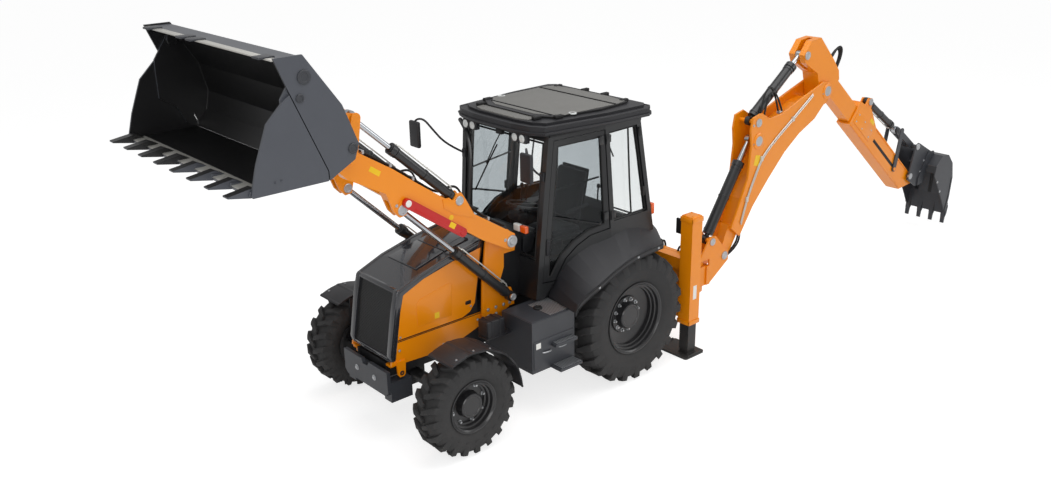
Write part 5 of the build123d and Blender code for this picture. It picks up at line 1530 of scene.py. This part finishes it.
            self.fit(self.repeat(self.join(screws), [flat]), f"front_fender_screws_{side}",
                     Coat.STEEL, f"knuckle_{side}")

    def axle(self) -> None:
        """Bolt the front axle's cover on."""
        cover = self.turned([(0.0, 0), (0.1, 0), (0.1, 0.012), (0.085, 0.03), (0.0, 0.045)],
                            at(2.26, 0.0, 0.5), AHEAD, 36)
        heads = self.bolts([(2.268, y, 0.5 + z) for y, z in around(8, 0.085)], AHEAD, 0.009)
        self.fit(self.join([cover, heads]), "axle_cover", Coat.IRON, "machine")


@dataclass
class Backhoe(Hydraulics):
    """The backhoe: pin caps, wear pads, hoses, oil lines, bolts, cylinder bands and teeth."""

    elbow: Flat = (-3.7, 2.485)
    foot: Flat = (-1.89, 0.81)
    barrel_base: Flat = (-1.66, 1.035)
    rod_pin: Flat = (-2.38, 2.1)
    dipper_base: Flat = (-2.36, 2.32)
    dipper_top: Flat = (-3.27, 2.97)
    post_x: float = -1.5
    # Pins in the dipper's own frame: the bucket's, the coupler link's and the bucket cylinder's
    nose: Flat = (2.7, 0.24)
    apex: Flat = (2.536, 0.627)
    bucket_base: Flat = (1.1, 0.484)
    slope: float = 40.0
    plate_y: float = 0.725

    def dipper(self, u: float, n: float) -> Flat:
        """Give a point of the dipper in the side view, u down it and n square to it."""
        a = math.radians(self.slope)
        return (self.elbow[0] - u * math.cos(a) - n * math.sin(a),
                self.elbow[1] - u * math.sin(a) + n * math.cos(a))

    def both(self, piece: Piece) -> Piece:
        """Copy a piece to the backhoe's other side, mirrored about its own plane."""
        over = Matrix.Translation((0, 2 * HOE_Y, 0)) @ flip(-1)
        return self.repeat(piece, [Matrix.Identity(4), over])

    def build(self) -> None:
        """Build what rides on each of the backhoe's bodies."""
        self.frame()
        self.boom()
        self.stick()
        self.slide()
        self.cylinders()
        self.bucket()

    def frame(self) -> None:
        """Fit the carriage's clamps, the kingpost's caps and its hoses."""
        clamps = [self.block((-1.06, y - 0.05, 1.088), (-1.004, y + 0.05, 1.133), 0.006)
                  for y in (HOE_Y - 0.24, HOE_Y + 0.24)]
        heads = self.bolts([(-1.065, HOE_Y + dy, z) for dy in (-0.26, -0.215, 0.215, 0.26)
                            for z in (0.47, 0.58, 0.93, 1.03)], BACK, 0.015, 0.014)
        self.fit(self.join([*clamps, heads]), "carriage_clamps", Coat.GRAPHITE, "carriage")
        cap = self.cap(at(self.post_x, HOE_Y, 0.876), UP, 0.07, 0.014)
        nuts = self.bolts([(self.post_x + x, HOE_Y + y, 0.888) for x, y in around(6, 0.05)], UP,
                          0.007)
        self.fit(self.join([cap, nuts]), "kingpost_cap", Coat.STEEL, "swing_post")
        sides = [self.cap(at(x, HOE_Y + 0.112, z), LEFT, r, 0.012)
                 for (x, z), r in ((self.foot, 0.05), (self.barrel_base, 0.045))]
        self.fit(self.both(self.join(sides)), "swing_post_caps", Coat.STEEL, "swing_post")
        plate = self.side([(-0.9, 0.64), (-0.9, 0.9), (-0.875, 0.9), (-0.875, 0.64)], -0.16, 0.16,
                          0.004)
        self.fit(plate, "frame_plate", Coat.GRAPHITE, "machine")
        hoses = [self.tube(
            [(-1.03, HOE_Y + dy, 1.07), (-1.05, HOE_Y + dy, 1.14), (-1.12, HOE_Y + dy, 1.13),
             (-1.13, HOE_Y + dy, 0.98), (-1.06, HOE_Y + dy, 0.9)], 0.012)
                 for dy in (-0.17, -0.13, 0.13, 0.17)]
        self.fit(self.join(hoses), "carriage_hoses", Coat.RUBBER_AND_PAINTED_SHADE, "carriage")

    def boom(self) -> None:
        """Fit the boom's bosses, lips, oil lines and hose loops."""
        y = self.plate_y
        bosses = [
            self.cap(at(x, y, z), LEFT, r, 0.014)
            for (x, z), r in ((self.rod_pin, 0.06), (self.dipper_base, 0.05), (self.elbow, 0.062))]
        keepers = self.bolts(
            [(x + 0.085, y, z - 0.02) for x, z in (self.rod_pin, self.dipper_base, self.elbow)],
            LEFT, 0.011)
        self.fit(self.both(self.join([*bosses, keepers])), "boom_pin_caps", Coat.STEEL, "boom")
        ring = [self.ring(x, z, r) for (x, z), r in ((self.rod_pin, 0.098), (self.elbow, 0.098))]
        self.fit(self.both(self.join(ring)), "boom_boss_plates", Coat.ORANGE, "boom")
        edges = (((-1.985, 1.135), (-2.228, 1.68), (-2.262, 2.04), (-2.238, 2.235)),
                 ((-2.41, 2.418), (-2.565, 2.329), (-2.79, 2.349), (-3.22, 2.489), (-3.61, 2.607)))
        rim = [self.tube([(x, y - 0.006, z) for x, z in edge], 0.009, False) for edge in edges]
        self.fit(self.both(self.join(rim)), "boom_edges", Coat.ORANGE, "boom")
        line = ((-3.395, 2.477), (-3.022, 2.245), (-2.658, 2.029), (-2.453, 1.868), (-2.333, 1.651),
                (-2.214, 1.423), (-2.125, 1.14))
        pipes = [self.tube([(x + k * 0.012, y + 0.01, z + k * 0.022) for x, z in line], self.line_r)
                 for k in range(2)]
        ties = [self.block((x - 0.014, y - 0.002, z - 0.018), (x + 0.03, y + 0.022, z + 0.042),
                           0.003) for x, z in (line[1], line[3], line[5])]
        self.fit(self.both(self.join(pipes + ties)), "boom_oil_lines", Coat.ZINC_AND_PAINTED_HIGHLIGHT, "boom")
        # plane and route of each loop over the boom's bend
        loops = (
            (0.668, ((-2.463, 2.383), (-2.489, 2.593), (-2.601, 2.712), (-2.716, 2.6),
                     (-2.8, 2.37))),
            (0.69, ((-2.5, 2.36), (-2.53, 2.55), (-2.64, 2.66), (-2.75, 2.55), (-2.84, 2.38))))
        hoses = [self.tube([(x, y0, z) for x, z in route], 0.011) for y0, route in loops]
        feet = [self.tube([(-2.134, 0.7 - k * 0.028, 1.11), (-2.15, 0.72 - k * 0.028, 0.98),
                           (-2.06, 0.7 - k * 0.028, 0.84), (-1.96, 0.69 - k * 0.03, 0.8)], 0.011)
                for k in range(2)]
        self.fit(self.join(hoses + feet), "boom_hoses", Coat.RUBBER_AND_PAINTED_SHADE, "boom")
        clamp = self.block((-2.85, HOE_Y + 0.07, 2.345), (-2.78, HOE_Y + 0.118, 2.38), 0.006)
        self.fit(clamp, "boom_hose_clamps", Coat.STEEL, "boom")
        label = self.side([(-2.4, 1.8), (-2.43, 1.92), (-2.34, 1.94), (-2.31, 1.82)], y, y + 0.0015,
                          0.0005, 1)
        self.fit(self.both(label), "boom_labels", Coat.YELLOW, "boom")

    def ring(self, x: float, z: float, radius: float) -> Piece:
        """Turn a low doubler round a pin on the boom's left side."""
        return self.turned(
            [(0.05, -0.002), (radius, -0.002), (radius, 0.005), (radius - 0.006, 0.009),
             (0.05, 0.009)], at(x, self.plate_y, z), LEFT, 40)

    def stick(self) -> None:
        """Fit the dipper's root with its bosses, hose loops and clamps."""
        y = HOE_Y + 0.11
        x, z = self.dipper_top
        self.fit(self.both(self.cap(at(x, y, z), LEFT, 0.05, 0.012)), "dipper_pin_caps", Coat.STEEL,
                 "dipper")
        loops = []
        for k in range(3):
            y0, u0 = HOE_Y + 0.06 - 0.034 * k, -0.13 + 0.035 * k
            route = [self.dipper(u0 + u, n)
                     for u, n in ((0.0, 0.3), (0.0, 0.5), (0.06, 0.6), (0.14, 0.57), (0.19, 0.42),
                                  (0.2, 0.25))]
            loops.append(self.tube([(px, y0, pz) for px, pz in route], 0.013))
        self.fit(self.join(loops), "dipper_hoses", Coat.RUBBER_AND_PAINTED_SHADE, "dipper")
        clamp = [self.strap(u, n, 0.085) for u, n in ((-0.09, 0.346), (0.03, 0.325))]
        self.fit(self.join(clamp), "dipper_hose_clamps", Coat.STEEL, "dipper")

    def flat(self, u: float, n: float, y: float) -> Point:
        """Give a dipper point with its width."""
        x, z = self.dipper(u, n)
        return x, y, z

    def strap(self, u: float, n: float, half: float) -> Piece:
        """Lay a clamp bar across the dipper's upper face."""
        corners = [self.dipper(u - 0.02, n), self.dipper(u + 0.02, n),
                   self.dipper(u + 0.02, n + 0.028), self.dipper(u - 0.02, n + 0.028)]
        return self.side(corners, HOE_Y - half, HOE_Y + half, 0.004)

    def slide(self) -> None:
        """Fit the telescopic slide: bolts, pads, grooves in painted shade, flanges, oil lines and
        labels.
        """
        y = HOE_Y + 0.095
        heads = self.bolts([self.flat(u, n, y) for n in (0.1, 0.2) for u in (0.93, 1.12, 1.34)],
                           LEFT, 0.012, 0.011)
        self.fit(self.both(heads), "slide_bolts", Coat.STEEL, "dipper_slide")
        pad = self.panel(0.88, 1.39, 0.06, 0.24, y - 0.002, y + 0.006)
        self.fit(self.both(pad), "slide_pads", Coat.ORANGE, "dipper_slide")
        # Painted shade: a near-black strip stands for the shadow inside each groove
        slot = self.panel(1.5, 2.3, 0.118, 0.16, y - 0.002, y + 0.0025)
        self.fit(self.both(slot), "slide_grooves_painted_shade", Coat.RUBBER_AND_PAINTED_SHADE, "dipper_slide")
        rails = [self.panel(u0, u1, n0, n1, y - 0.002, y + 0.01)
                 for u0, u1, n0, n1 in ((0.86, 2.6, -0.006, 0.012), (1.46, 2.8, 0.27, 0.286))]
        self.fit(self.both(self.join(rails)), "slide_flanges", Coat.ORANGE, "dipper_slide")
        caps = [self.cap(at(*self.flat(u, n, side)), LEFT, r, 0.012)
                for (u, n), side, r in ((self.nose, HOE_Y + 0.128, 0.05),
                                        (self.bucket_base, HOE_Y + 0.053, 0.046))]
        self.fit(self.both(self.join(caps)), "slide_pin_caps", Coat.STEEL, "dipper_slide")
        line = [self.flat(u, 0.296, HOE_Y + 0.072) for u in (1.44, 1.9, 2.3)]
        pipes = [self.tube([(x, py - 0.026 * k, z) for x, py, z in line], self.line_r, False)
                 for k in range(2)]
        self.fit(self.both(self.join(pipes)), "slide_oil_lines", Coat.ZINC_AND_PAINTED_HIGHLIGHT, "dipper_slide")
        label = self.panel(1.22, 1.34, 0.27, 0.32, y, y + 0.0015)
        self.fit(self.both(label), "slide_labels", Coat.YELLOW, "dipper_slide")

    def panel(self, u0: float, u1: float, n0: float, n1: float, y0: float, y1: float) -> Piece:
        """Lay a rounded plate along the dipper, between two places each way."""
        return self.side([self.dipper(u0, n0), self.dipper(u1, n0), self.dipper(u1, n1),
                          self.dipper(u0, n1)], y0, y1, 0.002)

    def cylinders(self) -> None:
        """Band the backhoe's cylinders and lay their oil lines."""
        base, eye = self.dipper(*self.bucket_base), self.dipper(2.028, 0.586)
        # body, pin at the foot, pin of the rod, barrel's radius and length, rod's radius
        rows = (("boom_barrel", self.barrel_base, self.rod_pin, 0.062, 0.99, 0.036),
                ("dipper_barrel", self.dipper_base, self.dipper_top, 0.06, 0.93, 0.034),
                ("bucket_barrel", base, eye, 0.046, 0.775, 0.027))
        for body, foot, tip, radius, length, rod in rows:
            bands = self.rings(foot, tip, HOE_Y, radius, (0.12, length * 0.55, length - 0.085))
            self.fit(bands, f"{body}_bands", Coat.CYLINDER, body)
            if body != "boom_barrel":
                pipe = self.line(foot, tip, HOE_Y, radius, 0.12, length - 0.035)
                self.fit(pipe, f"{body}_line", Coat.ZINC_AND_PAINTED_HIGHLIGHT, body)
            seal = self.seal(foot, tip, HOE_Y, length,
                             [(rod - 0.002, -0.004), (radius * 0.86, -0.004), (radius * 0.8, 0.006),
                              (rod + 0.005, 0.012), (rod - 0.002, 0.01)])
            self.fit(seal, f"{body}_seal", Coat.RUBBER_AND_PAINTED_SHADE, body)

    def bucket(self) -> None:
        """Fit the coupler's caps and the bucket's side edges, strips, adapters and bolts."""
        y = HOE_Y + 0.14
        caps = [self.cap(at(*self.flat(u, n, y)), LEFT, 0.045, 0.01)
                for u, n in (self.nose, self.apex)]
        heads = self.bolts([(x, y, z) for x, z in ((-6.25, 1.1), (-6.35, 1.13), (-6.18, 0.95))],
                           LEFT, 0.011)
        self.fit(self.both(self.join([*caps, heads])), "coupler_caps", Coat.STEEL, "hoe_bucket")
        wear = self.side([(-6.69, 0.3), (-6.735, 0.235), (-6.792, 0.47), (-6.822, 0.755),
                          (-6.79, 0.762), (-6.758, 0.5)], HOE_Y + 0.303, HOE_Y + 0.311, 0.003)
        self.fit(self.both(wear), "hoe_bucket_side_edges", Coat.BUCKET, "hoe_bucket")
        strips = [self.side([(-6.788, 0.98), (-6.836, 0.76), (-6.806, 0.48), (-6.79, 0.48),
                             (-6.82, 0.76), (-6.772, 0.98)], y0 - 0.03, y0 + 0.03, 0.003)
                  for y0 in (HOE_Y - 0.2, HOE_Y, HOE_Y + 0.2)]
        self.fit(self.join(strips), "hoe_bucket_strips", Coat.BUCKET, "hoe_bucket")
        tooth = self.side([(-6.76, 0.345), (-6.8, 0.345), (-6.772, 0.225), (-6.744, 0.185),
                           (-6.722, 0.185), (-6.722, 0.235)], HOE_Y - 0.036, HOE_Y + 0.036, 0.006)
        moves = [Matrix.Translation((0, (k - 1.5) * 0.186, 0)) for k in range(4)]
        self.fit(self.repeat(tooth, moves), "hoe_tooth_adapters", Coat.BUCKET, "hoe_bucket")
        plates = self.bolts([(-6.4, HOE_Y + 0.305, 0.78), (-6.5, HOE_Y + 0.305, 0.62)], LEFT, 0.012)
        self.fit(self.both(plates), "hoe_bucket_bolts", Coat.STEEL, "hoe_bucket")


@dataclass
class Stabilisers(Assembly):
    """The stabilisers: sleeve collars, blank plates, hoses and the pads' ribs."""

    x: float = -0.878
    y: float = 1.032
    pad_x: float = -0.885
    pad_y: float = 0.93
    leg_half: float = 0.062

    def build(self) -> None:
        """Build what rides on the sleeves and on the pads."""
        x, y = self.x, self.y
        collars = []
        for z, h in ((0.382, 0.05), (1.565, 0.05)):
            for low, high in (((x - 0.088, y - 0.088), (x + 0.088, y - 0.079)),
                              ((x - 0.088, y + 0.079), (x + 0.088, y + 0.088)),
                              ((x - 0.088, y - 0.088), (x - 0.079, y + 0.088)),
                              ((x + 0.079, y - 0.088), (x + 0.088, y + 0.088))):
                collars.append(self.block((*low, z), (*high, z + h), 0.003))
        self.fit(self.mirrored(self.join(collars)), "sleeve_collars", Coat.ORANGE, "machine")
        lid = self.block((x - 0.078, y - 0.078, 1.612), (x + 0.078, y + 0.078, 1.632), 0.008, 3)
        heads = self.bolts(
            [(x + dx, y + dy, 1.631) for dx in (-0.05, 0.05) for dy in (-0.05, 0.05)], UP, 0.01)
        self.fit(self.mirrored(self.join([lid, heads])), "sleeve_lids", Coat.ORANGE, "machine")
        white = self.block((x - 0.028, y + 0.0795, 0.68), (x + 0.028, y + 0.081, 0.84), 0.0005, 1)
        self.fit(self.mirrored(white), "sleeve_labels", Coat.WHITE, "machine")
        dark = self.block((-0.845, 0.862, 1.4), (-0.82, 0.954, 1.57), 0.004)
        self.fit(self.mirrored(dark), "sleeve_plates", Coat.RUBBER_AND_PAINTED_SHADE, "machine")
        hoses = [self.tube([(-0.955, 0.9 + k * 0.026, 0.98), (-0.985, 0.93 + k * 0.02, 1.2),
                            (-0.975, 0.965 + k * 0.02, 1.48), (-0.93, 1.0, 1.585)], 0.01)
                 for k in range(2)]
        self.fit(self.mirrored(self.join(hoses)), "stabiliser_hoses", Coat.RUBBER_AND_PAINTED_SHADE, "machine")
        for side, sign in SIDES:
            flat = flip(sign)
            low = (self.pad_x - 0.155, self.pad_y - 0.218)
            high = (self.pad_x + 0.155, self.pad_y + 0.218)
            half = self.leg_half
            weld = self.tube([(x + dx, y + dy, 0.027) for dx, dy in (
                (half, half), (-half, half), (-half, -half), (half, -half))], 0.008, False, True)
            lips = [self.block((low[0] + 0.03, low[1], 0.018),
                               (high[0] - 0.03, low[1] + 0.01, 0.04), 0.003),
                    self.block((low[0] + 0.03, high[1] - 0.01, 0.018),
                               (high[0] - 0.03, high[1], 0.04), 0.003)]
            self.fit(self.repeat(self.join([weld, *lips]), [flat]), f"pad_ribs_{side}",
                     Coat.CHASSIS, f"stabiliser_{side}")


@dataclass
class Studio:
    """Floor, light and camera."""

    camera_at: Point = (7.3486, 7.8846, 5.2701)
    yaw: float = 229.353
    pitch: float = -20.228
    roll: float = -1.018
    focal_px: float = 1049.4
    image_px: tuple[int, int] = (1051, 480)
    sensor_mm: float = 36.0
    floor_size: float = 240.0
    floor_glow: float = 1.62
    glow_share: float = 0.45
    world_light: float = 0.5

    def build(self) -> None:
        """Set the whole studio up."""
        self.floor()
        self.world()
        self.lights()
        self.camera()
        bpy.context.scene.view_settings.view_transform = "Standard"

    def floor(self) -> None:
        """Lay a plain pale floor that looks white to the eye and keeps the shadow."""
        bpy.ops.mesh.primitive_plane_add(size=self.floor_size, location=(0.0, 0.0, 0.0))
        floor = bpy.context.object
        floor.name = "floor"
        material = new_material("white_studio_floor")
        tree = material.node_tree
        sheet = add_node(tree, "ShaderNodeBsdfDiffuse", {"Color": linear("f4f4f4")})
        glow = add_node(tree, "ShaderNodeEmission",
                        {"Color": linear("ffffff"), "Strength": self.floor_glow})
        seen = add_node(tree, "ShaderNodeLightPath")
        share = add_node(tree, "ShaderNodeMath", {"operation": "MULTIPLY"},
                         {"0": self.any_view(tree, seen)})
        share.inputs[1].default_value = self.glow_share
        both = add_node(tree, "ShaderNodeMixShader", {},
                        {"0": share.outputs["Value"], "1": sheet.outputs["BSDF"],
                         "2": glow.outputs["Emission"]})
        add_node(tree, "ShaderNodeOutputMaterial", {}, {"Surface": both.outputs["Shader"]})
        floor.data.materials.append(material)

    def world(self) -> None:
        """Light the machine softly from all round, in front of white."""
        world = bpy.data.worlds.new("white_studio")
        bpy.context.scene.world = world
        world.use_nodes = True
        tree = world.node_tree
        tree.nodes.clear()
        seen = add_node(tree, "ShaderNodeLightPath")
        light = add_node(tree, "ShaderNodeBackground",
                         {"Color": linear("ffffff"), "Strength": self.world_light})
        white = add_node(tree, "ShaderNodeBackground", {"Color": linear("ffffff"), "Strength": 1.0})
        mix = add_node(tree, "ShaderNodeMixShader", {},
                       {"0": self.any_view(tree, seen), "1": light.outputs["Background"],
                        "2": white.outputs["Background"]})
        add_node(tree, "ShaderNodeOutputWorld", {}, {"Surface": mix.outputs["Shader"]})

    @staticmethod
    def any_view(tree: bpy.types.NodeTree, seen: bpy.types.Node) -> bpy.types.NodeSocket:
        """Give 1 where the eye or a view through glass meets the shader."""
        either = add_node(
            tree, "ShaderNodeMath", {"operation": "MAXIMUM"},
            {"0": seen.outputs["Is Camera Ray"], "1": seen.outputs["Is Transmission Ray"]})
        return either.outputs["Value"]

    def lights(self) -> None:
        """Hang soft lamps over and beside the machine."""
        # name, place, aim, size, power
        rows = (("overhead", (0.5, 1.0, 9.0), (0.0, 0.0, 1.0), 9.0, 430.0),
                ("front_left", (8.0, 8.0, 5.0), (0.5, 0.0, 1.2), 5.0, 240.0),
                ("rear_left", (-8.0, 7.5, 5.0), (-1.0, 0.0, 1.5), 5.0, 170.0))
        for name, place, aim, size, power in rows:
            bpy.ops.object.light_add(type="AREA", location=place)
            lamp = bpy.context.object
            lamp.name = name
            lamp.data.size = size
            lamp.data.energy = power
            turn = (Vector(aim) - Vector(place)).to_track_quat("-Z", "Y")
            lamp.rotation_euler = turn.to_euler()

    def camera(self) -> None:
        """Put the camera where the photograph was taken."""
        yaw, pitch, roll = (math.radians(a) for a in (self.yaw, self.pitch, self.roll))
        ahead = Vector(
            (math.cos(yaw) * math.cos(pitch), math.sin(yaw) * math.cos(pitch), math.sin(pitch)))
        right = Vector((math.sin(yaw), -math.cos(yaw), 0.0))
        up = right.cross(ahead)
        right, up = (right * math.cos(roll) + up * math.sin(roll),
                     up * math.cos(roll) - right * math.sin(roll))
        data = bpy.data.cameras.new("photograph")
        data.sensor_width = self.sensor_mm
        data.lens = self.sensor_mm * self.focal_px / self.image_px[0]
        eye = bpy.data.objects.new("photograph", data)
        bpy.context.collection.objects.link(eye)
        turn = Matrix((right, up, -ahead)).transposed().to_4x4()
        eye.matrix_world = Matrix.Translation(Vector(at(*self.camera_at))) @ turn
        bpy.context.scene.camera = eye


def main() -> None:
    """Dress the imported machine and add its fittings."""
    logging.basicConfig(level=logging.INFO, format="%(message)s")
    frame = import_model()
    wardrobe = Wardrobe()
    for coat, nodes in NODE_COATS.items():
        for node in nodes:
            wardrobe.dress(frame["nodes"][node], coat)
    fittings: tuple[Assembly, ...] = (
        Wheel(wardrobe, "front", FRONT_AXLE, y=0.95, radius=0.5, width=0.34, flange_r=0.262,
              lug=0.036, lug_count=20, bolt_r=0.185, bolt_count=8, hub_r=0.12, disc_y=0.04,
              hub_y=0.12),
        Wheel(wardrobe, "rear", REAR_AXLE, y=0.88, radius=0.709, width=0.44, flange_r=0.39,
              lug=0.04, lug_count=22, bolt_r=0.17, bolt_count=12, hub_r=0.135, disc_y=0.045,
              hub_y=0.115),
        Hood(wardrobe), Cab(wardrobe), Chassis(wardrobe), LoaderArms(wardrobe),
        LoaderBucket(wardrobe), Backhoe(wardrobe), Stabilisers(wardrobe))
    for fitting in fittings:
        LOG.info("building %s", type(fitting).__name__)
        fitting.build()
    Studio().build()


if __name__ == "__main__":
    main()
